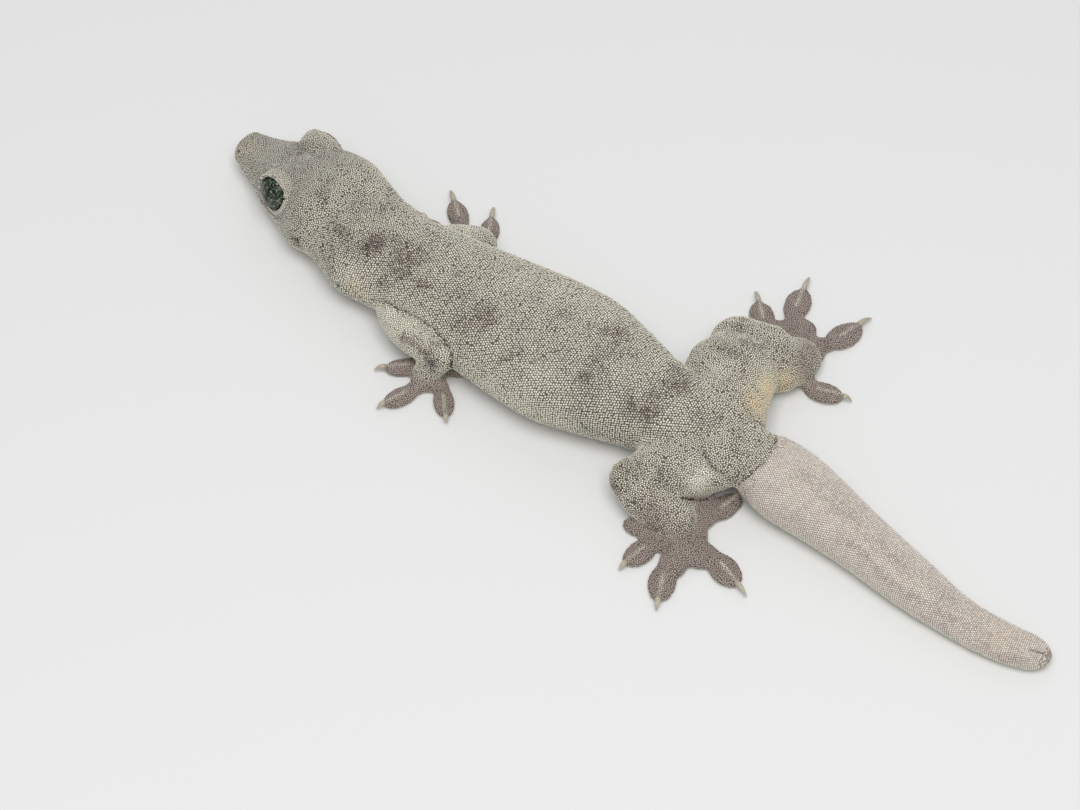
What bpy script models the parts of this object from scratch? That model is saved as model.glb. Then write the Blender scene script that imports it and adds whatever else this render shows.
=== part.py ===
# Halmahera giant gecko (Gehyra marginata), a still, life-size model lying on the floor.
# The head points to -Y and the animal's left side is +X. Sizes below are in millimetres.

import math

import bmesh
import bpy
from mathutils import Matrix, Vector

MM = 0.001
GAP = 0.3
FOOT_GAP = 0.42  # between a foot and its leg
FLOOR = 0.0

# Stations of the body from snout to tail tip:
# y, middle x, half width, bottom, height of the widest line, top
BODY_STATIONS = (
    (-107.0, -7.8, 3.7, 2.5, 4.3, 6.8),
    (-104.0, -7.2, 4.4, 2.2, 4.4, 7.3),
    (-99.0, -6.7, 6.0, 1.9, 4.6, 8.4),
    (-94.0, -6.3, 7.8, 1.7, 4.9, 10.7),
    (-90.0, -6.1, 9.3, 1.5, 5.3, 12.3),
    (-84.0, -5.4, 10.6, 1.2, 6.2, 14.0),
    (-78.0, -4.1, 12.0, 1.0, 6.6, 14.8),
    (-72.0, -2.6, 11.9, 0.8, 6.8, 15.0),
    (-66.0, -0.9, 11.4, 0.6, 7.2, 15.0),
    (-58.0, 0.6, 11.4, 0.3, 7.8, 15.8),
    (-48.0, 0.5, 12.2, 0.0, 8.2, 17.2),
    (-39.0, 0.6, 13.1, -0.3, 8.6, 18.2),
    (-30.0, 0.5, 14.7, -0.3, 8.6, 18.4),
    (-20.0, 0.1, 15.9, -0.4, 8.8, 18.6),
    (-10.0, -0.2, 16.0, -0.4, 8.8, 18.6),
    (0.0, -0.6, 13.3, -0.3, 8.8, 18.2),
    (10.0, -1.1, 10.3, 0.2, 8.4, 17.0),
    (20.0, -1.7, 9.1, 0.8, 8.0, 15.4),
    (28.0, -2.4, 7.4, 1.6, 7.4, 13.6),
    (33.0, -2.9, 6.7, 1.6, 6.9, 12.6),
    (36.0, -2.9, 7.6, 1.0, 6.8, 12.8),
    (42.0, -2.5, 8.3, 0.0, 6.4, 12.8),
    (50.0, -1.9, 7.4, -0.3, 5.9, 11.9),
    (62.0, -0.6, 6.1, -0.3, 5.0, 10.1),
    (74.0, 1.0, 5.4, -0.3, 4.4, 8.9),
    (86.0, 1.9, 4.3, -0.3, 3.6, 7.3),
    (96.0, 1.0, 4.0, -0.3, 3.1, 6.5),
    (105.0, -1.8, 3.4, -0.2, 2.5, 5.0),
)
SNOUT_Y = BODY_STATIONS[0][0]
TAIL_TIP_Y = BODY_STATIONS[-1][0]
HEAD_SLOPE = 0.03
HEAD_BACK_Y = -84.0
NECK_Y = -68.0
SNOUT_ROUND = 2.7
TAIL_ROUND = 4.5
RING_STEP = 0.9
RING_POINTS = 72
TOP_SQUARENESS = 2.3
BELLY_SQUARENESS = 2.4

# Thin cuts across the body, and the names of the lengths between them
BODY_CUTS = (-70.5, -57.0, -24.0, 7.0, 24.0, 34.5, 58.0, 83.0)
BODY_LENGTHS = (
    "head",
    "neck",
    "chest",
    "abdomen",
    "pelvis",
    "tail_base",
    "tail_front",
    "tail_middle",
    "tail_tip",
)

# Eyes: middle of the ball, heading of the look from +X towards +Y, and its upward tilt
EYES = {
    "eye_left": ((1.2, -87.8, 9.4), math.radians(-8.0), math.radians(17.0)),
    "eye_right": ((-12.0, -88.5, 9.4), math.radians(193.0), math.radians(13.0)),
}
EYE_RADIUS = 4.3
EYE_OPENING = 3.6
EYE_BACK = 1.2
EYE_SIDES = 20
EYE_STEPS = 4
ORBIT_RADIUS = 4.85
BROW_RISE = 0.3

# Other places on the head: y, distance from the middle line, height
NOSTRIL = (-105.4, 2.9, 5.2)
NOSTRIL_RADIUS = 0.5
EAR = (-75.4, 11.9, 7.2)
EAR_SIZE = (1.6, 0.8, 1.3)
MOUTH_LINE = ((-112.0, 3.7), (-104.0, 3.7), (-96.0, 3.6), (-90.0, 3.8), (-84.0, 4.6))
JAW_ANGLE = ((-81.5, 3.4), (-80.0, -2.0))
MOUTH_HALF_WIDTH = 16.0
LIP_RISE = 0.3
LIP_WIDTH = 1.0

# Soft swellings of the head: y, distance from the middle, height, radius, rise
SWELLINGS = (
    (-78.5, 10.8, 6.2, 4.6, 1.2),
    (-80.0, 6.0, 13.2, 4.6, 0.6),
    (-105.0, 2.2, 6.4, 1.8, 0.35),
    (-61.5, 10.6, 6.0, 4.8, 1.7),
    (-91.0, 8.6, 3.6, 5.0, 0.6),
    (-83.5, 10.0, 3.8, 5.6, 1.1),
)
# Soft hollows on the middle line of the head: y, height, radius, depth
HOLLOWS = (
    (-91.0, 12.0, 3.2, 0.8),
    (-101.0, 9.0, 2.4, 0.5),
)

# Limbs: lists of points (x, y, z, radius), from the root outwards
LIMBS = {
    "arm_left": {
        "names": ("upper_arm_left", "forearm_left", "hand_left"),
        "upper": ((8.0, -52.0, 7.6, 4.4), (13.4, -44.4, 6.6, 3.7), (15.0, -34.6, 6.6, 2.8)),
        "lower": ((15.0, -33.8, 6.6, 3.5), (16.4, -34.6, 4.6, 3.0), (17.0, -35.6, 2.4, 2.8)),
        "palm": (16.8, -35.2, 3.9, 3.6, 2.2),
        "extra": (),
    },
    "arm_right": {
        "names": ("upper_arm_right", "forearm_right", "hand_right"),
        "upper": ((-7.6, -53.0, 7.6, 4.4), (-12.6, -49.4, 7.2, 3.8), (-14.4, -46.6, 6.6, 2.7)),
        "lower": ((-14.8, -46.0, 6.6, 3.3), (-16.6, -48.6, 5.0, 2.9), (-16.6, -53.8, 2.6, 2.5)),
        "palm": (-16.8, -54.4, 3.8, 3.4, 2.2),
        "extra": (),
    },
    "leg_left": {
        "names": ("thigh_left", "shin_left", "foot_left"),
        "upper": ((0.0, 26.6, 8.0, 8.4), (7.0, 21.6, 7.2, 8.4), (13.9, 16.8, 5.8, 5.0)),
        "lower": ((15.1, 16.4, 5.8, 5.0), (16.1, 20.8, 4.8, 5.5), (16.0, 27.0, 3.4, 4.8)),
        "palm": (17.6, 30.4, 5.6, 5.4, 2.6),
        "extra": (
            (8.6, 28.4, 2.4, 3.6, 2.6, 2.5),
            (20.4, 33.6, 1.6, 3.8, 3.4, 1.5),
            (19.8, 36.8, 1.0, 2.6, 2.2, 1.3),
            (24.6, 34.0, 1.1, 3.0, 2.4, 1.4),
        ),
    },
    "leg_right": {
        "names": ("thigh_right", "shin_right", "foot_right"),
        "upper": (
            (-5.0, 24.0, 8.0, 8.4),
            (-13.0, 18.6, 7.2, 9.4),
            (-20.4, 15.4, 6.6, 9.7),
            (-25.6, 13.2, 6.2, 6.4),
        ),
        "lower": ((-26.6, 12.6, 6.0, 6.5), (-28.0, 20.0, 4.8, 7.9), (-32.4, 23.0, 3.4, 5.2)),
        "palm": (-36.4, 21.6, 5.2, 5.0, 2.5),
        "extra": ((-41.4, 18.2, 1.0, 3.0, 3.2, 1.4), (-38.7, 14.5, 1.0, 2.3, 2.3, 1.35)),
    },
}

# Digits one to five of each limb: pad x, pad y, heading in degrees from +X towards +Y, and how
# far the claw reaches past the pad
DIGITS = {
    "arm_left": (
        (12.6, -40.0, -112.0, 0.0),
        (17.7, -41.0, -45.0, 1.9),
        (24.2, -36.5, -18.0, 1.4),
        (19.8, -28.6, 44.0, 1.2),
        (11.0, -31.6, 132.0, 1.5),
    ),
    "arm_right": (
        (-11.8, -57.4, -62.0, 0.0),
        (-15.6, -59.6, -108.0, 1.9),
        (-22.4, -58.8, -127.0, 2.9),
        (-22.6, -50.4, -150.0, 2.9),
        (-14.6, -47.8, 84.0, 1.5),
    ),
    "leg_left": (
        (20.4, 22.6, -66.0, 0.0),
        (25.8, 26.2, -6.0, 1.6),
        (29.0, 34.1, 27.0, 1.9),
        (18.9, 42.0, 70.0, 2.8),
        (6.1, 32.8, 170.0, 1.5),
    ),
    "leg_right": (
        (-31.6, 13.6, -80.0, 0.0),
        (-39.2, 9.4, -132.0, 2.6),
        (-46.4, 13.4, -163.0, 3.4),
        (-45.4, 26.0, 166.0, 2.9),
        (-30.2, 31.4, 106.0, 1.6),
    ),
}
ARM_PADS = ((3.5, 2.2), (4.3, 2.5), (4.4, 2.5), (4.4, 2.4), (4.0, 2.3))
LEG_PADS = ((4.2, 2.8), (4.5, 2.9), (4.9, 3.1), (4.9, 3.3), (4.6, 2.9))
PAD_HALF_HEIGHT = 1.25
PAD_CENTRE_Z = 0.75
TOE_RADIUS = 1.55
TOE_FLATNESS = 0.72
CLAW_ROOT_RADIUS = 0.62
CLAW_SIDES = 6
THIGH_FLATNESS = 0.76
CAP_TURN = math.pi / 8.0

# Fine working meshes and the numbers of triangles that they are thinned to
VOXEL = 0.42
BODY_TRIANGLES = 3200
FOOT_TRIANGLES = 560

SKIN_GREY = (0.36, 0.34, 0.30, 1.0)
TAIL_BEIGE = (0.50, 0.42, 0.36, 1.0)
TOE_BROWN = (0.27, 0.21, 0.19, 1.0)
EYE_GREEN = (0.05, 0.08, 0.06, 1.0)


def clear_scene():
    for obj in list(bpy.data.objects):
        bpy.data.objects.remove(obj)


def make_collection(name):
    collection = bpy.data.collections.new(name)
    bpy.context.scene.collection.children.link(collection)
    return collection


def make_material(name, colour, roughness):
    material = bpy.data.materials.new(name)
    material.use_nodes = True
    shader = material.node_tree.nodes["Principled BSDF"]
    shader.inputs["Base Color"].default_value = colour
    shader.inputs["Roughness"].default_value = roughness
    shader.inputs["Metallic"].default_value = 0.0
    return material


def make_object(name, bm, collection):
    bmesh.ops.recalc_face_normals(bm, faces=bm.faces)
    mesh = bpy.data.meshes.new(name)
    bm.to_mesh(mesh)
    bm.free()
    obj = bpy.data.objects.new(name, mesh)
    collection.objects.link(obj)
    return obj


def bake_modifiers(obj):
    graph = bpy.context.evaluated_depsgraph_get()
    mesh = bpy.data.meshes.new_from_object(obj.evaluated_get(graph))
    obj.modifiers.clear()
    old = obj.data
    obj.data = mesh
    bpy.data.meshes.remove(old)


def copy_object(obj, name, collection):
    copy = bpy.data.objects.new(name, obj.data.copy())
    collection.objects.link(copy)
    return copy


def remove_objects(objects):
    for obj in objects:
        bpy.data.objects.remove(obj)


def combine(obj, others, operation):
    """Joins the other closed meshes to the object, or cuts them from it, and removes them."""
    group = make_collection("Working")
    for other in others:
        for old in list(other.users_collection):
            old.objects.unlink(other)
        group.objects.link(other)
    boolean = obj.modifiers.new("Combine", "BOOLEAN")
    boolean.operand_type = "COLLECTION"
    boolean.collection = group
    boolean.operation = operation
    boolean.solver = "EXACT"
    bake_modifiers(obj)
    remove_objects(others)
    bpy.data.collections.remove(group)


def islands(bm):
    found = []
    left = set(bm.faces)
    while left:
        start = left.pop()
        island = [start]
        for face in island:
            for edge in face.edges:
                for near in edge.link_faces:
                    if near in left:
                        left.remove(near)
                        island.append(near)
        found.append(island)
    return found


def island_volume(faces):
    total = 0.0
    for face in faces:
        first = face.verts[0].co
        for one, two in zip(face.verts[1:-1], face.verts[2:]):
            total += first.dot(one.co.cross(two.co)) / 6.0
    return total


def keep_islands(obj, wanted):
    """Keeps the closed surfaces with these ranks by volume, the largest being 0."""
    bm = bmesh.new()
    bm.from_mesh(obj.data)
    ranked = sorted(islands(bm), key=island_volume, reverse=True)
    loose = [face for rank, island in enumerate(ranked) if rank not in wanted for face in island]
    bmesh.ops.delete(bm, geom=loose, context="FACES")
    bm.to_mesh(obj.data)
    bm.free()


def thin_out(obj, triangles):
    """Reduces a fine mesh to about this number of triangles."""
    bm = bmesh.new()
    bm.from_mesh(obj.data)
    bmesh.ops.triangulate(bm, faces=bm.faces)
    count = len(bm.faces)
    bm.to_mesh(obj.data)
    bm.free()
    decimate = obj.modifiers.new("Thin out", "DECIMATE")
    decimate.ratio = min(1.0, triangles / count)
    decimate.use_collapse_triangulate = True
    bake_modifiers(obj)


def stand_on_floor(obj):
    for vertex in obj.data.vertices:
        vertex.co.z = max(vertex.co.z, FLOOR)


def heading_vector(angle):
    """The level direction turned by this angle from +X towards +Y."""
    return Vector((math.cos(angle), math.sin(angle), 0.0))


# Body


def smooth_step(value):
    value = min(1.0, max(0.0, value))
    return value * value * (3.0 - 2.0 * value)


def slope_at(stations, index, column):
    low = stations[max(0, index - 1)]
    high = stations[min(len(stations) - 1, index + 1)]
    return (high[column] - low[column]) / (high[0] - low[0])


def body_at(y):
    """Middle x, half width, bottom, widest height and top of the body at this y."""
    index = 0
    while index < len(BODY_STATIONS) - 2 and y > BODY_STATIONS[index + 1][0]:
        index += 1
    one, two = BODY_STATIONS[index], BODY_STATIONS[index + 1]
    span = two[0] - one[0]
    t = min(1.0, max(0.0, (y - one[0]) / span))
    values = []
    for column in range(1, len(one)):
        slope_one = slope_at(BODY_STATIONS, index, column) * span
        slope_two = slope_at(BODY_STATIONS, index + 1, column) * span
        values.append(
            one[column] * (1 + 2 * t) * (1 - t) ** 2
            + slope_one * t * (1 - t) ** 2
            + two[column] * t * t * (3 - 2 * t)
            + slope_two * t * t * (t - 1)
        )
    return values


def body_frame(y):
    """Middle point of the body at this y and the direction to its left, straight in the head."""
    middle = body_at(y)[0]
    slope = body_at(y + 0.5)[0] - body_at(y - 0.5)[0]
    follow = smooth_step((y - HEAD_BACK_Y) / (NECK_Y - HEAD_BACK_Y))
    left = Vector((1.0, -(HEAD_SLOPE + (slope - HEAD_SLOPE) * follow), 0.0)).normalized()
    return Vector((middle, y, 0.0)), left


def on_body(y, aside, height):
    middle, left = body_frame(y)
    return middle + left * aside + Vector((0.0, 0.0, height))


def end_scale(y):
    """How far the section has shrunk at the rounded snout and tail tip."""
    inside = min((y - SNOUT_Y) / SNOUT_ROUND, (TAIL_TIP_Y - y) / TAIL_ROUND)
    if inside >= 1.0:
        return 1.0
    return math.sqrt(max(0.0, 1.0 - (1.0 - max(0.0, inside)) ** 2))


def ring_places():
    """The y of each ring, closer together in the rounded ends."""
    places = [SNOUT_Y + SNOUT_ROUND * (1.0 - math.cos(math.pi * i / 16.0)) for i in range(1, 8)]
    y = SNOUT_Y + SNOUT_ROUND
    while y < TAIL_TIP_Y - TAIL_ROUND:
        places.append(y)
        y += RING_STEP
    places += [TAIL_TIP_Y - TAIL_ROUND * (1.0 - math.sin(math.pi * i / 16.0)) for i in range(0, 8)]
    return places


def section_point(values, scale, angle, grow):
    half_width, bottom, widest, top = values[1:]
    across, upward = math.cos(angle), math.sin(angle)
    squareness = TOP_SQUARENESS if upward > 0 else BELLY_SQUARENESS
    rise = (top - widest) if upward > 0 else (widest - bottom)
    middle = widest + (0.5 * (bottom + top) - widest) * (1.0 - scale)
    aside = math.copysign(abs(across) ** (2.0 / squareness), across) * (half_width * scale + grow)
    height = math.copysign(abs(upward) ** (2.0 / squareness), upward) * (rise * scale + grow)
    return aside, middle + height


def mouth_height(y):
    points = MOUTH_LINE
    if y <= points[0][0]:
        return points[0][1]
    for one, two in zip(points, points[1:]):
        if y <= two[0]:
            t = (y - one[0]) / (two[0] - one[0])
            return one[1] + (two[1] - one[1]) * t
    return points[-1][1]


def lip_push(y, aside, height):
    off_line = abs(height - mouth_height(y))
    near = smooth_step(1.0 - off_line / LIP_WIDTH)
    front = smooth_step((MOUTH_LINE[-1][0] + 1.0 - y) / 4.0)
    return LIP_RISE * near * front


def shaped(y, aside, height):
    """Adds the swellings, hollows and lips of the head to a point of the plain section."""
    place = Vector((y, aside, height))
    outward = Vector((0.0, aside, 0.8 * (height - body_at(y)[3]))).normalized()
    push = lip_push(y, aside, height)
    for centre_y, centre_aside, centre_height, radius, rise in SWELLINGS:
        centre = Vector((centre_y, math.copysign(centre_aside, aside), centre_height))
        push += rise * math.exp(-(((place - centre).length / radius) ** 2))
    for centre_y, centre_height, radius, depth in HOLLOWS:
        centre = Vector((centre_y, 0.0, centre_height))
        push -= depth * math.exp(-(((place - centre).length / radius) ** 2))
    return place + outward * push


def body_object(name, collection, grow=0.0):
    bm = bmesh.new()
    rings = []
    for y in ring_places():
        values, scale = body_at(y), end_scale(y)
        ring = []
        for i in range(RING_POINTS):
            angle = 2.0 * math.pi * (i + 0.5) / RING_POINTS
            aside, height = section_point(values, scale, angle, grow)
            place = shaped(y, aside, height)
            ring.append(bm.verts.new(on_body(*place) * MM))
        rings.append(ring)
    for ring, following in zip(rings, rings[1:]):
        for i in range(RING_POINTS):
            j = (i + 1) % RING_POINTS
            bm.faces.new((ring[i], ring[j], following[j], following[i]))
    for ring, end in ((rings[0], SNOUT_Y - grow), (rings[-1], TAIL_TIP_Y + grow)):
        values = body_at(end)
        tip = bm.verts.new(on_body(end, 0.0, 0.5 * (values[2] + values[4])) * MM)
        for i in range(RING_POINTS):
            bm.faces.new((ring[i], ring[(i + 1) % RING_POINTS], tip))
    return make_object(name, bm, collection)


def cross_cutter(y, collection):
    """A thin slab across the body, square to its middle line."""
    middle, left = body_frame(y)
    bm = bmesh.new()
    bmesh.ops.create_cube(bm, size=1.0)
    size = Matrix.Diagonal((60.0, GAP, 60.0, 1.0))
    turn = Matrix.Rotation(math.atan2(left.y, left.x), 4, "Z")
    matrix = Matrix.Scale(MM, 4) @ Matrix.Translation(middle) @ turn @ size
    bmesh.ops.transform(bm, matrix=matrix, verts=bm.verts)
    return make_object("Cut across", bm, collection)


def mouth_cutter(collection):
    """A thin bent sheet along the mouth line that turns down behind the jaw."""
    bm = bmesh.new()
    rows = []
    for y, height in MOUTH_LINE + JAW_ANGLE:
        rows.append([bm.verts.new(on_body(y, side * MOUTH_HALF_WIDTH, height) * MM) for side in (-1, 1)])
    for one, two in zip(rows, rows[1:]):
        bm.faces.new((one[0], one[1], two[1], two[0]))
    cutter = make_object("Cut mouth", bm, collection)
    solidify = cutter.modifiers.new("Thickness", "SOLIDIFY")
    solidify.thickness = GAP * MM
    solidify.offset = 0.0
    bake_modifiers(cutter)
    return cutter


def eye_matrix(name):
    """Places a shape made round the z axis at the middle of an eyeball, looking out."""
    centre, heading, tilt = EYES[name]
    look = heading_vector(heading) * math.cos(tilt) + Vector((0.0, 0.0, math.sin(tilt)))
    turn = look.to_track_quat("Z", "Y").to_matrix().to_4x4()
    return Matrix.Scale(MM, 4) @ Matrix.Translation(centre) @ turn


def eye_object(name, collection):
    """The part of the eyeball that shows, a rounded plug in its socket."""
    bm = bmesh.new()
    edge = math.asin(EYE_OPENING / EYE_RADIUS)
    profile = [(0.0, EYE_BACK), (EYE_OPENING, EYE_BACK)]
    for i in range(EYE_STEPS):
        angle = edge * (1.0 - i / EYE_STEPS)
        profile.append((EYE_RADIUS * math.sin(angle), EYE_RADIUS * math.cos(angle)))
    profile.append((0.0, EYE_RADIUS))
    verts = [bm.verts.new((r, 0.0, z)) for r, z in profile]
    edges = [bm.edges.new(pair) for pair in zip(verts, verts[1:])]
    bmesh.ops.spin(
        bm, geom=verts + edges, cent=(0, 0, 0), axis=(0, 0, 1), angle=2 * math.pi, steps=EYE_SIDES
    )
    bmesh.ops.remove_doubles(bm, verts=bm.verts, dist=0.001)
    bmesh.ops.transform(bm, matrix=eye_matrix(name), verts=bm.verts)
    return make_object(name, bm, collection)


def socket_cutter(name, collection):
    """A round hole a little wider than the eye and open to the outside."""
    bm = bmesh.new()
    low, high = EYE_BACK - GAP, 2.0 * EYE_RADIUS
    bmesh.ops.create_cone(
        bm,
        cap_ends=True,
        segments=EYE_SIDES,
        radius1=EYE_OPENING + GAP,
        radius2=EYE_OPENING + GAP,
        depth=high - low,
        matrix=Matrix.Translation((0.0, 0.0, 0.5 * (low + high))),
    )
    bmesh.ops.transform(bm, matrix=eye_matrix(name), verts=bm.verts)
    return make_object("Socket", bm, collection)


def ball(name, centre, radii, collection, turn=0.0, points=(20, 12)):
    bm = bmesh.new()
    bmesh.ops.create_uvsphere(bm, u_segments=points[0], v_segments=points[1], radius=1.0)
    matrix = (
        Matrix.Scale(MM, 4)
        @ Matrix.Translation(centre)
        @ Matrix.Rotation(turn, 4, "Z")
        @ Matrix.Diagonal((*radii, 1.0))
    )
    bmesh.ops.transform(bm, matrix=matrix, verts=bm.verts)
    return make_object(name, bm, collection)


def brows(collection):
    """The round bulge of skin that covers each eyeball, a little higher above it."""
    places = [Vector(centre) + Vector((0.0, 0.0, BROW_RISE)) for centre, _, _ in EYES.values()]
    return [ball("Brow", place, (ORBIT_RADIUS,) * 3, collection) for place in places]


def head_cutters(collection):
    cutters = [mouth_cutter(collection)] + [socket_cutter(name, collection) for name in EYES]
    for side in (-1, 1):
        y, aside, height = NOSTRIL
        place = on_body(y, side * aside, height)
        cutters.append(ball("Nostril", place, (NOSTRIL_RADIUS,) * 3, collection, points=(10, 6)))
        y, aside, height = EAR
        place = on_body(y, side * aside, height)
        length, width, tall = EAR_SIZE
        cutters.append(ball("Ear", place, (length, width, tall), collection, points=(12, 8)))
    return cutters


def name_lengths(pieces, collection, materials):
    """Names the loose lengths of the body in order, with the lower jaw apart."""
    pieces.sort(key=lambda piece: min(corner[1] for corner in piece.bound_box))
    jaw = min(pieces[:2], key=lambda piece: max(corner[2] for corner in piece.bound_box))
    pieces.remove(jaw)
    jaw.name = "lower_jaw"
    for piece, name in zip(pieces, BODY_LENGTHS):
        piece.name = name
    for piece in pieces + [jaw]:
        regrown = piece.name in BODY_LENGTHS[6:]
        finish(piece, materials["tail"] if regrown else materials["skin"], collection)


def separate(obj, count, collection):
    """Makes each of the largest closed surfaces of the mesh its own object."""
    pieces = []
    for rank in range(count):
        piece = copy_object(obj, "Length", collection)
        keep_islands(piece, {rank})
        pieces.append(piece)
    remove_objects([obj])
    return pieces


def finish(obj, material, collection):
    obj.data.materials.clear()
    obj.data.materials.append(material)
    obj.data.shade_smooth()
    obj.data.set_sharp_from_angle(angle=math.radians(50.0))
    if obj.name not in collection.objects:
        collection.objects.link(obj)
    for other in list(obj.users_collection):
        if other != collection:
            other.objects.unlink(obj)


def build_body(collection, working, materials):
    body = body_object("Body", working)
    thin_out(body, BODY_TRIANGLES)
    stand_on_floor(body)
    combine(body, brows(working), "UNION")
    combine(body, head_cutters(working), "DIFFERENCE")
    cutters = [cross_cutter(y, working) for y in BODY_CUTS]
    combine(body, cutters, "DIFFERENCE")
    name_lengths(separate(body, len(BODY_LENGTHS) + 1, working), collection, materials)
    for name in EYES:
        finish(eye_object(name, collection), materials["eye"], collection)


# Limbs


def tube(name, points, collection, grow=0.0, sides=14, steps=3, caps=(1, 2, 3), flatness=1.0):
    """A closed limb through the points (x, y, z, radius), with rounded ends."""
    curve = []
    for index in range(len(points) - 1):
        before = Vector(points[max(0, index - 1)])
        one, two = Vector(points[index]), Vector(points[index + 1])
        after = Vector(points[min(len(points) - 1, index + 2)])
        for i in range(steps):
            t = i / steps
            curve.append(
                0.5
                * (
                    2.0 * one
                    + (two - before) * t
                    + (2.0 * before - 5.0 * one + 4.0 * two - after) * t * t
                    + (3.0 * one - before - 3.0 * two + after) * t**3
                )
            )
    curve.append(Vector(points[-1]))
    ways = []
    for i, place in enumerate(curve):
        low, high = curve[max(0, i - 1)], curve[min(len(curve) - 1, i + 1)]
        ways.append((high.xyz - low.xyz).normalized())
    first_radius, last_radius = curve[0][3] + grow, curve[-1][3] + grow
    rings = []
    for i in caps:
        back, radius = first_radius * math.cos(CAP_TURN * i), first_radius * math.sin(CAP_TURN * i)
        rings.append((curve[0].xyz - ways[0] * back, radius, ways[0]))
    rings += [(place.xyz, place[3] + grow, way) for place, way in zip(curve, ways)]
    for i in reversed(caps):
        ahead, radius = last_radius * math.cos(CAP_TURN * i), last_radius * math.sin(CAP_TURN * i)
        rings.append((curve[-1].xyz + ways[-1] * ahead, radius, ways[-1]))
    bm = bmesh.new()
    turn = ways[0].to_track_quat("Z", "Y")
    made = []
    for centre, radius, way in rings:
        turn = (turn @ Vector((0, 0, 1))).rotation_difference(way) @ turn
        ring = []
        for i in range(sides):
            angle = 2.0 * math.pi * i / sides
            offset = turn @ Vector((math.cos(angle), math.sin(angle), 0.0)) * radius
            offset.z *= flatness
            ring.append(bm.verts.new((centre + offset) * MM))
        made.append(ring)
    for ring, following in zip(made, made[1:]):
        for i in range(sides):
            j = (i + 1) % sides
            bm.faces.new((ring[i], ring[j], following[j], following[i]))
    start = bm.verts.new((curve[0].xyz - ways[0] * first_radius) * MM)
    end = bm.verts.new((curve[-1].xyz + ways[-1] * last_radius) * MM)
    for i in range(sides):
        j = (i + 1) % sides
        bm.faces.new((made[0][j], made[0][i], start))
        bm.faces.new((made[-1][i], made[-1][j], end))
    return make_object(name, bm, collection)


def foot_pieces(limb, collection, grow=0.0):
    """Palm, toes and pads, as closed overlapping shapes."""
    x, y, length, width, height = LIMBS[limb]["palm"]
    palm = Vector((x, y, 0.9))
    radii = (length + grow, width + grow, height + grow)
    pieces = [ball("Palm", palm, radii, collection)]
    pads = ARM_PADS if limb.startswith("arm") else LEG_PADS
    for (pad_x, pad_y, heading, _), (pad_length, pad_width) in zip(DIGITS[limb], pads):
        way = heading_vector(math.radians(heading))
        pad = Vector((pad_x, pad_y, PAD_CENTRE_Z))
        root = palm + (pad - palm) * 0.25
        knuckle = pad - way * pad_length * 0.7 + (palm - pad) * 0.12
        points = [
            (*root.xy, 1.3, TOE_RADIUS * 1.45),
            (*knuckle.xy, 1.1, TOE_RADIUS * 1.25),
            (*pad.xy, 0.9, TOE_RADIUS * 0.9),
        ]
        pieces.append(tube("Toe", points, collection, grow, sides=12, flatness=TOE_FLATNESS))
        radii = (pad_length + grow, pad_width + grow, PAD_HALF_HEIGHT + grow)
        pieces.append(ball("Pad", pad, radii, collection, turn=math.radians(heading), points=(14, 8)))
    for extra in LIMBS[limb]["extra"]:
        radii = [radius + grow for radius in extra[3:]]
        pieces.append(ball("Heel", Vector(extra[:3]), radii, collection))
    return pieces


def claw_pieces(limb, collection):
    """The narrow free joint and claw that rise from each pad but the first."""
    pads = ARM_PADS if limb.startswith("arm") else LEG_PADS
    claws = []
    for (pad_x, pad_y, heading, reach), (pad_length, _) in list(zip(DIGITS[limb], pads))[1:]:
        way = heading_vector(math.radians(heading))
        pad = Vector((pad_x, pad_y, 0.0))
        points = [
            (*(pad - way * 0.2 * pad_length).xy, 1.35, CLAW_ROOT_RADIUS * 1.1),
            (*(pad + way * 0.7 * pad_length).xy, 1.75, CLAW_ROOT_RADIUS),
            (*(pad + way * (pad_length + 0.35 * reach)).xy, 1.75, CLAW_ROOT_RADIUS * 0.85),
            (*(pad + way * (pad_length + 0.7 * reach)).xy, 1.45, CLAW_ROOT_RADIUS * 0.55),
            (*(pad + way * (pad_length + reach)).xy, 0.75, 0.12),
        ]
        claws.append(tube("Claw", points, collection, sides=CLAW_SIDES, steps=1, caps=(2,)))
    return claws


def soften(obj, triangles):
    """Melts joined shapes into one soft surface."""
    remesh = obj.modifiers.new("Melt", "REMESH")
    remesh.mode = "VOXEL"
    remesh.voxel_size = VOXEL * MM
    smooth = obj.modifiers.new("Soften", "SMOOTH")
    smooth.factor = 0.5
    smooth.iterations = 4
    bake_modifiers(obj)
    thin_out(obj, triangles)


def build_foot(limb, name, collection, working):
    pieces = foot_pieces(limb, working)
    foot = pieces.pop(0)
    combine(foot, pieces, "UNION")
    soften(foot, FOOT_TRIANGLES)
    stand_on_floor(foot)
    combine(foot, claw_pieces(limb, working), "UNION")
    foot.name = name
    return foot


def build_limb(limb, collection, working, materials, clearance):
    """Builds the outer pieces first, and cuts each inner one clear of them."""
    sizes = LIMBS[limb]
    upper_name, lower_name, foot_name = sizes["names"]
    flatness = THIGH_FLATNESS if limb.startswith("leg") else 1.0
    foot = build_foot(limb, foot_name, collection, working)
    lower = tube(lower_name, sizes["lower"], working, flatness=flatness)
    combine(lower, foot_pieces(limb, working, grow=FOOT_GAP), "DIFFERENCE")
    upper = tube(upper_name, sizes["upper"], working, flatness=flatness)
    cutters = foot_pieces(limb, working, grow=FOOT_GAP)
    cutters.append(tube("Lower", sizes["lower"], working, grow=GAP, flatness=flatness))
    combine(upper, cutters, "DIFFERENCE")
    for piece in (upper, lower, foot):
        combine(piece, [copy_object(clearance, "Clearance", working)], "DIFFERENCE")
        keep_islands(piece, {0})
        stand_on_floor(piece)
        finish(piece, materials["toes" if piece == foot else "skin"], collection)


def grown_body(working):
    body = body_object("Grown body", working, grow=GAP)
    thin_out(body, BODY_TRIANGLES)
    return body


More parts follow.
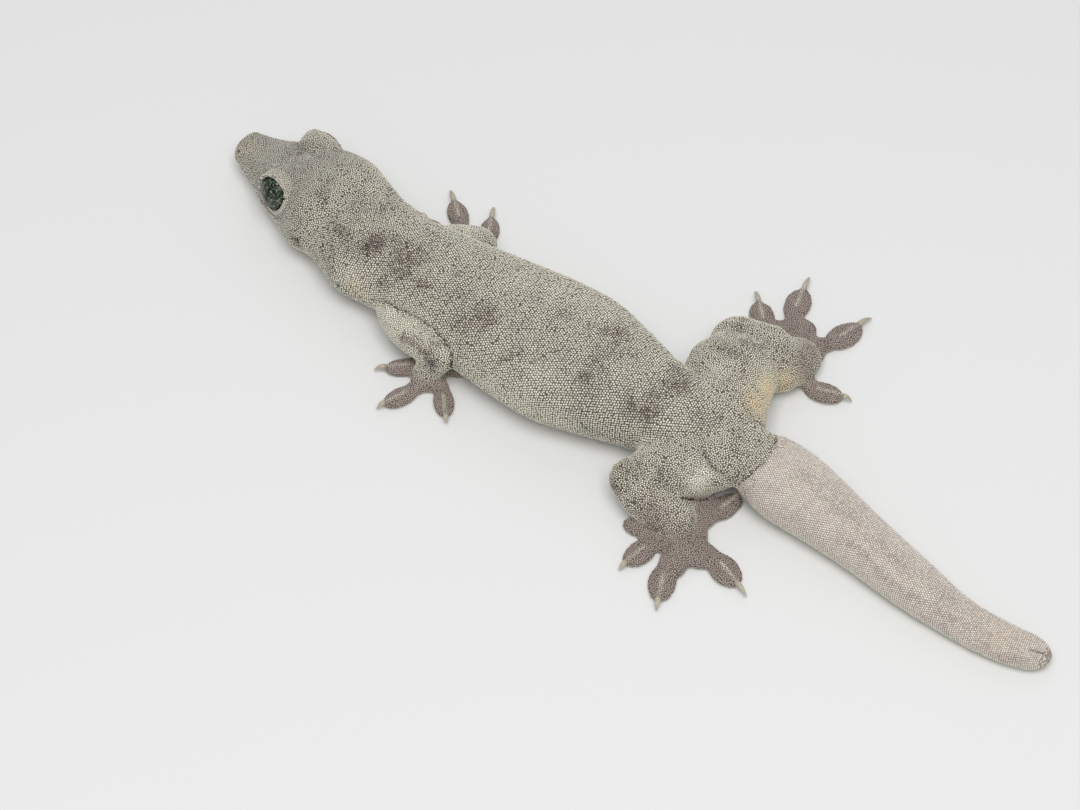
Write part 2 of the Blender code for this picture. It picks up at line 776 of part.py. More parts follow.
def centre_on_floor(collection):
    """Moves the model so that the middle of its outline lies at the origin."""
    points = [vertex.co for obj in collection.objects for vertex in obj.data.vertices]
    middle_x = 0.5 * (min(point.x for point in points) + max(point.x for point in points))
    middle_y = 0.5 * (min(point.y for point in points) + max(point.y for point in points))
    for obj in collection.objects:
        obj.data.transform(Matrix.Translation((-middle_x, -middle_y, 0.0)))


def main():
    clear_scene()
    collection = make_collection("Halmahera giant gecko")
    working = make_collection("Working shapes")
    materials = {
        "skin": make_material("Granular skin", SKIN_GREY, 0.75),
        "tail": make_material("Regrown tail skin", TAIL_BEIGE, 0.7),
        "toes": make_material("Toe skin", TOE_BROWN, 0.7),
        "eye": make_material("Eye", EYE_GREEN, 0.1),
    }
    build_body(collection, working, materials)
    clearance = grown_body(working)
    for limb in LIMBS:
        build_limb(limb, collection, working, materials, clearance)
    remove_objects([clearance])
    bpy.data.collections.remove(working)
    centre_on_floor(collection)


main()
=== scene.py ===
import math

import bmesh
import bpy
import numpy as np
from mathutils import Matrix, Vector
from mathutils.bvhtree import BVHTree
from mathutils.kdtree import KDTree


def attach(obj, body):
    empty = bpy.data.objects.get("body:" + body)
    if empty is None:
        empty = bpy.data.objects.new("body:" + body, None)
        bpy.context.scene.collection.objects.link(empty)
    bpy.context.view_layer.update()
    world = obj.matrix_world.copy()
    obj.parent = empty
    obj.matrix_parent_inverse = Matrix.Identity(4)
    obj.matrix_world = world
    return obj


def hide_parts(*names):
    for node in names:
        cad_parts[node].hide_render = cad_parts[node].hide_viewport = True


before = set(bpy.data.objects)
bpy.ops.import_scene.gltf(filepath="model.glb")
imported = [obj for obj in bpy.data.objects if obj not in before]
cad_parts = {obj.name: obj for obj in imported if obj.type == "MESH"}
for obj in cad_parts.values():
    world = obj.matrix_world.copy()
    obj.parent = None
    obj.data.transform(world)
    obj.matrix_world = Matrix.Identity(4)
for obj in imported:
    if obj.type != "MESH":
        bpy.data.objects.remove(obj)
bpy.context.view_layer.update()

# Sizes are in millimetres. The head points to -Y, and the animal's left side is +X.
mm = 0.001
shift = Vector((9.64, 0.995, 0.0))  # from the solids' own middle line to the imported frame
upward = Vector((0.0, 0.0, 1.0))
rng = np.random.default_rng(7)
print("stage: frame loaded,", len(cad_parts), "nodes")

# The view of the photograph
view = {
    "target": (7.7, -13.0, 0.0),
    "azimuth": 37.97,
    "elevation": 51.0,
    "distance": 719.0,
    "focalPixels": 3500.0,
    "picture": (1080, 810),
    "sensorWidth": 36.0,
    "clipStart": 50.0,
}


def wayOf(heading, tilt=0.0):
    # The direction at a heading from +X towards +Y, tilted upwards
    turn, rise = math.radians(heading), math.radians(tilt)
    return Vector((math.cos(turn) * math.cos(rise), math.sin(turn) * math.cos(rise), math.sin(rise)))


def linkObject(name, data):
    piece = bpy.data.objects.new(name, data)
    bpy.context.scene.collection.objects.link(piece)
    return piece


def makeCamera():
    away = wayOf(view["azimuth"], view["elevation"])
    data = bpy.data.cameras.new("photoView")
    data.sensor_width = view["sensorWidth"]
    data.lens = view["focalPixels"] / view["picture"][0] * view["sensorWidth"]
    data.clip_start = view["clipStart"] * mm
    camera = linkObject("photoView", data)
    camera.location = (Vector(view["target"]) + shift + away * view["distance"]) * mm
    camera.rotation_euler = away.to_track_quat("Z", "Y").to_euler()
    bpy.context.scene.camera = camera
    bpy.context.view_layer.update()
    return camera


def makeObject(name, bm):
    mesh = bpy.data.meshes.new(name)
    bm.to_mesh(mesh)
    bm.free()
    return linkObject(name, mesh)


def addModifier(piece, kind, **values):
    modifier = piece.modifiers.new(kind.lower(), kind)
    for key, value in values.items():
        setattr(modifier, key, value)


def bakeModifiers(piece):
    graph = bpy.context.evaluated_depsgraph_get()
    mesh = bpy.data.meshes.new_from_object(piece.evaluated_get(graph))
    piece.modifiers.clear()
    old, piece.data = piece.data, mesh
    bpy.data.meshes.remove(old)


def readRows(items, key, kind=np.float32):
    flat = np.empty(len(items) * 3, kind)
    items.foreach_get(key, flat)
    return flat.reshape(-1, 3)


def surfaceOf(mesh):
    points, normals = readRows(mesh.vertices, "co"), readRows(mesh.vertex_normals, "vector")
    return points.astype(float), normals.astype(float)


def smoothStep(value):
    value = np.clip(value, 0.0, 1.0)
    return value * value * (3.0 - 2.0 * value)


def bell(gap, width):
    # One where the gap is nothing, fading out over the width
    return np.exp(-((gap / width) ** 2))


# Skin: one surface over all the nodes of flesh
skinPlan = {
    "merge": 0.002,
    "bridge": 0.24,  # grown by this much so that the nodes join
    "inset": 0.1,  # room for the scales
    "voxel": 0.33,
    "soften": 0.5,
    "softenSteps": 4,
    "triangles": 185000,
}
fleshNodes = sorted(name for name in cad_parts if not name.startswith("eye"))


def joinFlesh():
    bm = bmesh.new()
    owners = []
    for index, name in enumerate(fleshNodes):
        before = len(bm.faces)
        bm.from_mesh(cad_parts[name].data)
        owners += [index] * (len(bm.faces) - before)
    tree = BVHTree.FromBMesh(bm)
    bmesh.ops.remove_doubles(bm, verts=bm.verts, dist=skinPlan["merge"] * mm)
    return bm, tree, owners


def makeSkin(bm):
    skin = makeObject("skin", bm)
    addModifier(skin, "DISPLACE", mid_level=0.0, strength=skinPlan["bridge"] * mm)
    addModifier(skin, "REMESH", mode="VOXEL", voxel_size=skinPlan["voxel"] * mm)
    addModifier(skin, "DISPLACE", mid_level=0.0, strength=-(skinPlan["bridge"] + skinPlan["inset"]) * mm)
    addModifier(skin, "SMOOTH", factor=skinPlan["soften"], iterations=skinPlan["softenSteps"])
    bakeModifiers(skin)
    return skin


def thinOut(piece, triangles):
    count = sum(len(face.vertices) - 2 for face in piece.data.polygons)
    addModifier(piece, "DECIMATE", ratio=min(1.0, triangles / count), use_collapse_triangulate=True)
    bakeModifiers(piece)


def treeOf(mesh):
    bm = bmesh.new()
    bm.from_mesh(mesh)
    tree = BVHTree.FromBMesh(bm)
    bm.free()
    return tree


def onSkin(tree, camera, pixel):
    # The place on the skin that shows at this pixel of the photograph
    wide, high = view["picture"]
    across, down = pixel[0] - wide / 2, pixel[1] - high / 2
    ray = camera.matrix_world.to_3x3() @ Vector((across, -down, -view["focalPixels"]))
    return tree.ray_cast(camera.location, ray.normalized())[0]


def alongSkin(tree, camera, pixels):
    places = []
    for one, two in zip(pixels, pixels[1:]):
        steps = max(2, int(math.dist(one, two)))
        for i in range(steps):
            t = i / steps
            hit = onSkin(tree, camera, (one[0] + (two[0] - one[0]) * t, one[1] + (two[1] - one[1]) * t))
            if hit is not None:
                places.append(hit)
    return np.array(places)


def distanceTo(points, path, reach):
    # Distance of each point to the nearest place of the path, or the reach where it is farther
    far = np.full(len(points), reach)
    low, high = path.min(0) - reach, path.max(0) + reach
    near = np.nonzero(((points > low) & (points < high)).all(1))[0]
    batch = 4000  # points at a time, to spare memory
    for start in range(0, len(near), batch):
        part = near[start:start + batch]
        gaps = np.linalg.norm(points[part, None] - path[None], axis=2).min(1)
        far[part] = np.minimum(gaps, reach)
    return far


# Eyes: middle, heading of the look from +X towards +Y and its upward tilt
eyes = {
    "eye_left": {"centre": (1.2, -87.8, 9.4), "heading": -8.0, "tilt": 17.0},
    "eye_right": {"centre": (-12.0, -88.5, 9.4), "heading": 193.0, "tilt": 13.0},
}
eyePlan = {
    "radius": 4.3,
    "back": 1.6,  # where the ball is cut off behind
    "segments": (64, 48),
    "bare": 3.72,  # no scales nearer to the axis of the look than this
    "rimRows": (3.95, 4.32),
    "rimPitch": 0.42,
    "rimReach": 9.0,  # where the rays back to the skin start
    "rimDepth": 6.0,  # no scale of the rim lies farther from the ball's middle
    "lids": ({"radius": 4.05, "width": 0.35, "height": 0.3}, {"radius": 5.1, "width": 0.28, "height": -0.24}),
}


def eyeFrame(name):
    # Middle of the eyeball, the way that it looks, and two directions across the look
    eye = eyes[name]
    look = wayOf(eye["heading"], eye["tilt"])
    across = upward.cross(look).normalized()
    return (Vector(eye["centre"]) + shift) * mm, look, across, look.cross(across)


def besideLook(name, points):
    # Distance of each point from the axis of the look, in millimetres, and large behind the eye
    centre, look, _, _ = eyeFrame(name)
    offset = points - np.array(centre)
    along = offset @ np.array(look)
    aside = np.linalg.norm(offset - along[:, None] * np.array(look), axis=1)
    return np.where(along > 0.0, aside / mm, 99.0)


# Digits two to five: pad middle x and y, heading, pad length and how far the claw reaches past it
digits = {
    "hand_left": ((17.7, -41.0, -45, 4.3, 1.9), (24.2, -36.5, -18, 4.4, 1.4), (19.8, -28.6, 44, 4.4, 1.2),
                  (11.0, -31.6, 132, 4.0, 1.5)),
    "hand_right": ((-15.6, -59.6, -108, 4.3, 1.9), (-22.4, -58.8, -127, 4.4, 2.9),
                   (-22.6, -50.4, -150, 4.4, 2.9), (-14.6, -47.8, 84, 4.0, 1.5)),
    "foot_left": ((25.8, 26.2, -6, 4.5, 1.6), (29.0, 34.1, 27, 4.9, 1.9), (18.9, 42.0, 70, 4.9, 2.8),
                  (6.1, 32.8, 170, 4.6, 1.5)),
    "foot_right": ((-39.2, 9.4, -132, 4.5, 2.6), (-46.4, 13.4, -163, 4.9, 3.4), (-45.4, 26.0, 166, 4.9, 2.9),
                   (-30.2, 31.4, 106, 4.6, 1.6)),
}
digitPlan = {
    "ridge": (-0.25, 0.85, 0.05),  # from, to and step, in pad lengths
    "ridgeHeight": 1.9,
    "bareFrom": 0.15,  # of the claw's reach
    "bareLength": 5.0,
    "bareWidth": 1.0,
}


def digitFrames(foot):
    # Middle of each pad on the floor, the way that the digit points, pad length and claw reach
    for x, y, heading, pad, reach in digits[foot]:
        yield Vector((x, y, 0.0)) + shift, wayOf(heading), pad, reach


def toeRidges():
    # The narrow ridge along the top of each pad, which ends in the claw
    places = []
    for foot in digits:
        for middle, way, pad, _ in digitFrames(foot):
            for along in np.arange(*digitPlan["ridge"]):
                places.append(np.array(middle + way * (pad * along) + upward * digitPlan["ridgeHeight"]) * mm)
    return np.array(places)


def onClaw(points):
    # Places on the free claws, which carry no scales
    bare = np.zeros(len(points), bool)
    for foot in digits:
        for middle, way, pad, reach in digitFrames(foot):
            offset = points / mm - np.array(middle)
            along = offset @ np.array(way)
            aside = np.linalg.norm(offset[:, :2] - along[:, None] * np.array(way)[:2], axis=1)
            start, end = pad + digitPlan["bareFrom"] * reach, pad + digitPlan["bareLength"]
            bare |= (along > start) & (along < end) & (aside < digitPlan["bareWidth"])
    return bare


# Folds of the skin: path in pixels of the photograph, width and depth (a ridge where negative)
folds = [
    {"path": ((371, 301), (386, 302), (400, 310), (414, 316), (425, 323), (435, 330), (446, 343), (452, 355),
              (451, 367)), "width": 0.4, "depth": 0.75},
    {"path": ((383, 299), (397, 305), (411, 312)), "width": 0.3, "depth": 0.25},
    {"path": ((453, 357), (461, 360), (469, 365), (471, 375)), "width": 0.4, "depth": 0.25},
    {"path": ((474, 366), (481, 374), (483, 384)), "width": 0.5, "depth": 0.2},
    {"path": ((628, 446), (640, 438), (653, 434), (668, 438), (682, 446)), "width": 0.5, "depth": 0.4},
    {"path": ((612, 441), (630, 439), (647, 431)), "width": 0.45, "depth": 0.25},
    {"path": ((697, 432), (703, 455), (713, 469), (724, 474), (736, 484)), "width": 0.45, "depth": 0.45},
    {"path": ((704, 448), (712, 461), (722, 468)), "width": 0.35, "depth": 0.3},
    {"path": ((681, 497), (697, 500), (708, 499), (714, 494)), "width": 0.4, "depth": 0.5},
    {"path": ((690, 487), (698, 482), (705, 484)), "width": 0.9, "depth": -0.4},
    {"path": ((672, 494), (689, 488), (700, 478)), "width": 0.4, "depth": 0.25},
    {"path": ((690, 362), (714, 376), (736, 401), (753, 418), (772, 434)), "width": 0.4, "depth": 0.3},
    {"path": ((746, 380), (757, 392), (760, 406)), "width": 0.35, "depth": 0.22},
    {"path": ((770, 372), (779, 381), (778, 392)), "width": 0.35, "depth": 0.25},
    {"path": ((759, 380), (768, 389), (766, 402)), "width": 0.35, "depth": 0.22},
    {"path": ((776, 436), (775, 448), (767, 460), (752, 473), (738, 485)), "width": 0.35, "depth": 0.25},
    {"path": ((1030, 650), (1038, 652), (1047, 655)), "width": 0.3, "depth": 0.2},
    {"path": ((330, 262), (344, 280), (352, 296)), "width": 0.6, "depth": 0.25},
    {"path": ((318, 240), (331, 256), (345, 270)), "width": 0.6, "depth": 0.2},
    {"path": ((295, 144), (301, 149), (307, 152), (314, 156), (322, 162)), "width": 0.4, "depth": 0.3},
    {"path": ((300, 146), (306, 148), (313, 151), (321, 157)), "width": 0.35, "depth": -0.14},
    {"path": ((257, 182), (259, 174), (263, 167), (269, 163), (277, 162), (285, 164), (292, 169)),
     "width": 0.35, "depth": 0.3},
    {"path": ((260, 183), (262, 176), (266, 170), (271, 167), (278, 166), (285, 168)), "width": 0.35,
     "depth": -0.15},
    {"path": ((288, 180), (293, 188), (295, 197), (292, 206)), "width": 0.35, "depth": 0.2},
    {"path": ((244, 154), (250, 158), (256, 163), (261, 168)), "width": 0.5, "depth": -0.15},
    {"path": ((286, 214), (293, 222), (300, 231)), "width": 0.4, "depth": 0.2},
    {"path": ((278, 152), (288, 157), (298, 166)), "width": 0.6, "depth": 0.15},
]
mouthPlan = {
    "line": ((-108.0, 3.7), (-96.0, 3.6), (-90.0, 3.8), (-83.0, 4.7)),  # y and height
    "middle": (-6.4, -92.0, 0.0),
    "tipX": -7.5,
    "firstHeading": 45.0,
    "turn": 0.75,
    "rays": 361,
    "width": 0.3,
    "depth": 0.34,
    "back": -83.0,
    "lip": {"beside": 0.8, "width": 0.45, "height": 0.16},
}
nostrilPlan = {"pixel": (239.0, 151.5), "width": 0.42, "depth": 0.5}


def readOff(table, y):
    # The value at this y, from pairs of y and value
    return np.interp(y, *zip(*table))


def mouthPath(tree):
    # Places on both sides of the mouth line, from the left corner round the snout to the right
    start = Vector(mouthPlan["middle"]) + shift
    places = []
    for i in range(mouthPlan["rays"]):
        way = wayOf(mouthPlan["firstHeading"] - i * mouthPlan["turn"])
        height = mouthPlan["line"][0][1]
        for _ in range(2):  # the height follows the place that the ray finds
            hit = tree.ray_cast(Vector((start.x, start.y, height)) * mm, way)[0]
            if hit is None:
                break
            height = readOff(mouthPlan["line"], hit.y / mm - shift.y)
        if hit is not None and hit.y / mm - shift.y < mouthPlan["back"]:
            places.append(hit)
    return np.array(places)


def nostrils(tree, camera):
    # The left one where the photograph shows it, and the right one across the middle of the snout
    left = onSkin(tree, camera, nostrilPlan["pixel"])
    middle = (mouthPlan["tipX"] + shift.x) * mm
    right = tree.find_nearest(Vector((2.0 * middle - left.x, left.y, left.z)))[0]
    return np.array(left), np.array(right)


def carve(skin, camera):
    tree = treeOf(skin.data)
    points, normals = surfaceOf(skin.data)
    push = np.zeros(len(points))
    for fold in folds:
        path, width = alongSkin(tree, camera, fold["path"]), fold["width"] * mm
        push -= fold["depth"] * mm * bell(distanceTo(points, path, 4.0 * width), width)
    mouth = mouthPath(tree)
    width, lip = mouthPlan["width"] * mm, mouthPlan["lip"]
    gap = distanceTo(points, mouth, 6.0 * width)
    push -= mouthPlan["depth"] * mm * bell(gap, width)
    push += lip["height"] * mm * bell(gap - lip["beside"] * mm, lip["width"] * mm)
    for name in eyes:  # the margin of the lids and the groove round them
        aside = besideLook(name, points)
        for ring in eyePlan["lids"]:
            push += ring["height"] * mm * bell(aside - ring["radius"], ring["width"])
    for nostril in nostrils(tree, camera):
        gap = np.linalg.norm(points - nostril, axis=1) / mm
        push -= nostrilPlan["depth"] * mm * bell(gap, nostrilPlan["width"])
    points += normals * push[:, None]
    points[:, 2] = np.maximum(points[:, 2], 0.0)
    skin.data.vertices.foreach_set("co", points.astype(np.float32).ravel())
    skin.data.update()
    return mouth


camera = makeCamera()
flesh, fleshTree, fleshOwners = joinFlesh()
skin = makeSkin(flesh)
print("stage: skin fused,", len(skin.data.polygons), "faces")
mouthLine = carve(skin, camera)
thinOut(skin, skinPlan["triangles"])
skin.data.shade_smooth()
print("stage: skin carved and thinned,", len(skin.data.polygons), "faces")

skinTree = treeOf(skin.data)
skinPoints, skinNormals = surfaceOf(skin.data)


def ownersOf(points):
    found = np.zeros(len(points), int)
    for i, point in enumerate(points):
        found[i] = fleshOwners[fleshTree.find_nearest(Vector(point))[2]]
    return found


def smoothed(values, steps):
    # Spreads values of the skin's points over their neighbours
    edges = np.empty(len(skin.data.edges) * 2, np.int32)
    skin.data.edges.foreach_get("vertices", edges)
    one, two = edges[0::2], edges[1::2]
    count = np.bincount(one, minlength=len(values)) + np.bincount(two, minlength=len(values))
    for _ in range(steps):
        total = np.bincount(one, values[two], len(values)) + np.bincount(two, values[one], len(values))
        values = 0.5 * values + 0.5 * total / np.maximum(count, 1)
    return values


skinOwners = ownersOf(skinPoints)


def share(prefixes, steps):
    wanted = [name.startswith(prefixes) for name in fleshNodes]
    return smoothed(np.array(wanted, float)[skinOwners], steps)


# Markings: soft patches at pixels of the photograph, with their radius and strength
patches = {
    "brown": (
        (372, 243, 4.5, 0.9), (400, 262, 5.0, 0.8), (425, 283, 4.0, 0.5), (392, 285, 3.0, 0.3),
        (344, 232, 4.0, 0.6), (318, 196, 3.0, 0.5), (360, 206, 4.0, 0.5), (486, 314, 3.6, 0.7),
        (463, 292, 3.4, 0.5), (508, 296, 3.4, 0.4), (455, 320, 3.4, 0.5), (610, 332, 3.6, 0.6),
        (600, 352, 3.4, 0.5), (588, 392, 4.0, 0.6), (632, 408, 3.0, 0.9), (645, 412, 2.6, 1.0),
        (660, 396, 3.2, 0.7), (680, 374, 3.2, 0.7), (683, 386, 3.0, 0.8), (560, 318, 3.4, 0.4),
        (548, 356, 3.6, 0.45), (705, 420, 3.4, 0.45), (620, 470, 3.4, 0.6), (612, 486, 3.0, 0.7),
        (640, 506, 4.0, 0.6), (660, 530, 4.0, 0.6), (740, 330, 3.4, 0.7), (756, 344, 3.4, 0.6),
        (780, 360, 3.6, 0.5), (728, 352, 3.0, 0.5), (742, 398, 3.0, 0.3), (432, 346, 2.2, 0.5),
        (424, 354, 2.2, 0.5), (300, 172, 2.6, 0.4), (985, 628, 7.0, 0.35), (1012, 645, 6.0, 0.35),
        (324, 136, 2.6, 0.9), (336, 146, 2.4, 0.8), (296, 216, 2.4, 0.4), (330, 250, 3.4, 0.5),
    ),
    "pale": (
        (698, 484, 2.6, 1.0), (706, 474, 2.0, 0.8), (412, 325, 3.4, 0.9), (428, 335, 3.0, 0.7),
        (389, 315, 3.4, 0.9), (520, 405, 4.0, 0.6), (495, 392, 4.0, 0.6), (560, 422, 4.0, 0.5),
        (470, 372, 3.0, 0.5), (350, 280, 3.4, 0.5), (640, 448, 2.4, 0.5), (452, 352, 2.0, 0.5),
        (720, 372, 3.0, 0.4), (770, 392, 4.0, 0.7), (538, 372, 3.6, 0.35), (372, 300, 2.4, 0.7),
        (443, 350, 1.6, 0.6), (560, 290, 4.0, 0.35), (520, 280, 4.0, 0.3), (600, 305, 4.0, 0.3),
    ),
    "warm": (
        (246, 150, 2.6, 0.2), (768, 392, 3.4, 0.9), (757, 404, 3.0, 0.9), (782, 383, 3.0, 0.7),
        (355, 288, 2.6, 0.3), (795, 384, 2.6, 0.4), (1000, 640, 3.0, 0.2),
    ),
}
# Streaks along the regrown tail, and dark lines of painted shade in the skin's creases: path in pixels, half
# width and strength
streaks = {
    "brown": (
        {"path": ((848, 541), (862, 552), (876, 565), (884, 576)), "width": 0.9, "strength": 0.6},
        {"path": ((884, 576), (900, 588), (922, 601), (950, 617)), "width": 1.0, "strength": 0.5},
        {"path": ((950, 617), (975, 628), (1000, 638)), "width": 0.9, "strength": 0.5},
        {"path": ((776, 462), (800, 478), (828, 490), (850, 512)), "width": 0.8, "strength": 0.4},
        {"path": ((800, 470), (838, 505), (880, 545), (930, 585), (985, 620)),
         "width": 3.0, "strength": 0.42},
        {"path": ((905, 565), (930, 588), (968, 612)), "width": 0.8, "strength": 0.5},
        {"path": ((404, 338), (414, 345), (425, 354), (434, 366)), "width": 1.3, "strength": 1.0},
        {"path": ((416, 336), (427, 347), (438, 360)), "width": 0.6, "strength": 0.6},
    ),
    "line": (
        {"path": ((776, 436), (775, 448), (767, 460), (752, 473), (738, 485)),
         "width": 0.16, "strength": 0.75},
        {"path": ((1030, 650), (1038, 652), (1047, 655)), "width": 0.22, "strength": 0.7},
        {"path": ((386, 302), (400, 310), (414, 316), (425, 323), (435, 330), (446, 343), (452, 355),
                  (451, 367)), "width": 0.2, "strength": 0.8},
        {"path": ((704, 452), (713, 468), (724, 474)), "width": 0.4, "strength": 0.6},
        {"path": ((681, 498), (697, 501), (709, 499)), "width": 0.3, "strength": 0.7},
    ),
}
# Where the other marks lie: radius, width and strength of each, in millimetres round its feature
markPlan = {
    "patchFade": 0.9,
    "underside": (0.05, 0.5),  # how far the normal points down, and the length of the change
    "arms": 0.6,
    "tailEdge": 0.2,
    "palms": (((805, 366), 4.0), ((812, 352), 3.5), ((676, 552), 4.0), ((655, 520), 3.5)),  # pixel, radius
    "palmStrength": 0.85,
    "head": (-72.0, 12.0),  # where its colour begins, and the length of the change
    "lipSkin": {"width": 1.4, "strength": 0.8},
    # The lip line paints shade into the mouth's groove
    "lipLine": {"width": 0.22, "strength": 0.75},
    "lidSkin": {"radius": 4.3, "width": 0.5, "strength": 0.55},
    "lidPlain": {"radius": 4.35, "width": 0.7, "strength": 1.0},
    # The lid line paints shade into the groove round each lid
    "lidLine": {"radius": 5.15, "width": 0.22, "strength": 0.4},
    "socket": (3.85, 0.3),  # painted shade inside this radius, where the skin turns into the socket, and the length of the change
    # The nostril line paints shade into each nostril
    "nostrilLine": {"width": 0.45, "strength": 0.9},
    "nostrilSkin": {"width": 1.1, "strength": 0.7},
    "toeRidge": {"width": 0.36, "strength": 0.6},
}


def streakMark(name):
    total = np.zeros(len(skinPoints))
    for streak in streaks[name]:
        width = streak["width"] * mm
        gap = distanceTo(skinPoints, alongSkin(skinTree, camera, streak["path"]), 3.0 * width)
        total = np.maximum(total, streak["strength"] * bell(gap, width))
    return total


def bandMark(band, gap):
    plan = markPlan[band]
    return plan["strength"] * bell(gap - plan.get("radius", 0.0), plan["width"])


def gapTo(pixelOrPlace):
    # Distance of the skin's points from a place, or from what shows at a pixel
    place = onSkin(skinTree, camera, pixelOrPlace) if len(pixelOrPlace) == 2 else pixelOrPlace
    return np.linalg.norm(skinPoints - np.array(place), axis=1)


def pastBreak(points):
    # Distance past the plane through the ring where the tail broke and grew again
    ring = alongSkin(skinTree, camera, streaks["line"][0]["path"])
    terms = np.stack([ring[:, 0], ring[:, 2], np.ones(len(ring))], axis=1)
    slope = np.linalg.lstsq(terms, ring[:, 1], rcond=None)[0]
    return (points[:, 1] - points[:, 0] * slope[0] - points[:, 2] * slope[1] - slope[2]) / mm


def markings():
    # A mask for each mark, with a value for each point of the skin
    marks = {}

    def add(name, values):
        marks[name] = np.maximum(marks.get(name, 0.0), values)

    for name, spots in patches.items():
        for x, y, radius, strength in spots:
            add(name, strength * np.exp(-markPlan["patchFade"] * (gapTo((x, y)) / (radius * mm)) ** 2))
    level, blend = markPlan["underside"]
    add("pale", smoothStep(-(skinNormals[:, 2] + level) / blend))
    add("pale", markPlan["arms"] * share(("upper_arm",), 12))
    add("tail", smoothStep(pastBreak(skinPoints) / markPlan["tailEdge"] + 0.5) * share(("tail",), 2))
    add("toes", share(("hand", "foot"), 22))
    for pixel, radius in markPlan["palms"]:
        add("toes", markPlan["palmStrength"] * bell(gapTo(pixel), radius * mm))
    start, blend = markPlan["head"]
    ahead = start - (skinPoints[:, 1] / mm - shift.y)
    add("head", smoothStep(ahead / blend) * (1.0 - share(("hand", "upper", "fore"), 4)))
    # The line streaks paint shade into the creases; the brown ones are the skin's own streaks
    for name in streaks:
        add(name, streakMark(name))
    lips = distanceTo(skinPoints, mouthLine, 2.0 * mm) / mm
    add("tail", bandMark("lipSkin", lips))
    # Painted shade along the mouth's groove
    add("line", bandMark("lipLine", lips))
    for name in eyes:
        aside = besideLook(name, skinPoints)
        add("pale", bandMark("lidSkin", aside))
        marks["brown"] *= 1.0 - bandMark("lidPlain", aside)
        # Painted shade in the groove round the lid, then in the socket
        add("line", bandMark("lidLine", aside))
        edge, blend = markPlan["socket"]
        add("line", smoothStep((edge - aside) / blend))
    for nostril in nostrils(skinTree, camera):
        # Painted shade in the nostril
        add("line", bandMark("nostrilLine", gapTo(nostril) / mm))
        add("tail", bandMark("nostrilSkin", gapTo(nostril) / mm))
    add("pale", bandMark("toeRidge", distanceTo(skinPoints, toeRidges(), 1.0 * mm) / mm))
    return marks


def setColours(mesh, name, values):
    layer = mesh.attributes.new(name, "FLOAT_COLOR", "POINT")
    layer.data.foreach_set("color", values.astype(np.float32).ravel())


# The masks are packed as two colours. A scale's height takes the last place, which is nothing on the skin.
skinMarks = markings()
skinMarks["crown"] = np.zeros(len(skinPoints))
firstMarks = np.stack([skinMarks[name] for name in ("brown", "pale", "tail", "head")], axis=1)
secondMarks = np.stack([skinMarks[name] for name in ("toes", "warm", "line", "crown")], axis=1)
setColours(skin.data, "marksOne", firstMarks)
setColours(skin.data, "marksTwo", secondMarks)
print("stage: markings laid")


# Scales: a low dome each, in rows along the trunk and tail, and evenly packed elsewhere
rowPlan = {
    "pitches": ((-71.0, 0.44), (-60.0, 0.5), (-46.0, 0.57), (20.0, 0.57), (34.0, 0.5), (80.0, 0.5),
                (105.0, 0.42)),
    "spine": ((-72.0, -2.6), (-66.0, -0.9), (-58.0, 0.6), (-48.0, 0.5), (-30.0, 0.5), (-10.0, -0.2),
              (0.0, -0.6), (10.0, -1.1), (20.0, -1.7), (28.0, -2.4), (36.0, -2.9), (42.0, -2.5),
              (50.0, -1.9), (62.0, -0.6), (74.0, 1.0), (86.0, 1.9), (96.0, 1.0), (103.0, -1.2)),  # y and x
    "heights": ((-70.0, 7.5), (0.0, 8.6), (28.0, 7.4), (60.0, 5.0), (103.0, 2.6)),
    "from": -71.0,
    "to": 103.6,
    "apart": 0.87,  # of the pitch
    "rays": 91,
    "turn": 2.0,
    "reach": 24.0,
    "jitter": 0.05,
    "tailFrom": 38.0,
    "tailJitter": 0.02,
}
headPitches = ((-108.0, 0.4), (-92.0, 0.41), (-80.0, 0.43), (-70.0, 0.46))
scalePlan = {
    "bellyPitch": 0.85,
    "armPitch": 0.41,
    "legPitch": 0.43,
    "footPitch": 0.4,
    "lipPitch": 0.8,
    "lipWidth": 0.95,
    "lipStep": 0.85,
    "lipHeights": (0.62, -0.62),
    "under": -0.6,  # normals lower than this are the belly's
    "underHeight": 1.5,
    "tooMany": 4.4,  # times as many loose places as there is room for
    "rowedShare": (0.97, 0.85),  # where the skin counts as covered by rows, and how many fewer lie there
    "cell": 0.6,  # of the grid that finds the places near by
    "spacing": 0.82,  # this and the next four are shares of the pitch
    "rowSpacing": 0.62,
    "relaxReach": 1.12,
    "size": (0.8, 1.2),
    "height": 0.26,
    "sizeVaries": (0.96, 1.04),
    "heightVaries": (0.85, 1.2),
    "relaxPush": 0.36,
    "relaxSteps": 11,
    "bareLine": 0.6,  # no scales where the painted crease shade is stronger
}
trunkNodes = ("neck", "chest", "abdomen", "pelvis", "tail")


def spineAt(y):
    reach = 4.0
    spine = rowPlan["spine"]
    slope = (readOff(spine, y + reach) - readOff(spine, y - reach)) / (2.0 * reach)
    left = Vector((1.0, -slope, 0.0)).normalized()
    return (Vector((readOff(spine, y), y, readOff(rowPlan["heights"], y))) + shift) * mm, left


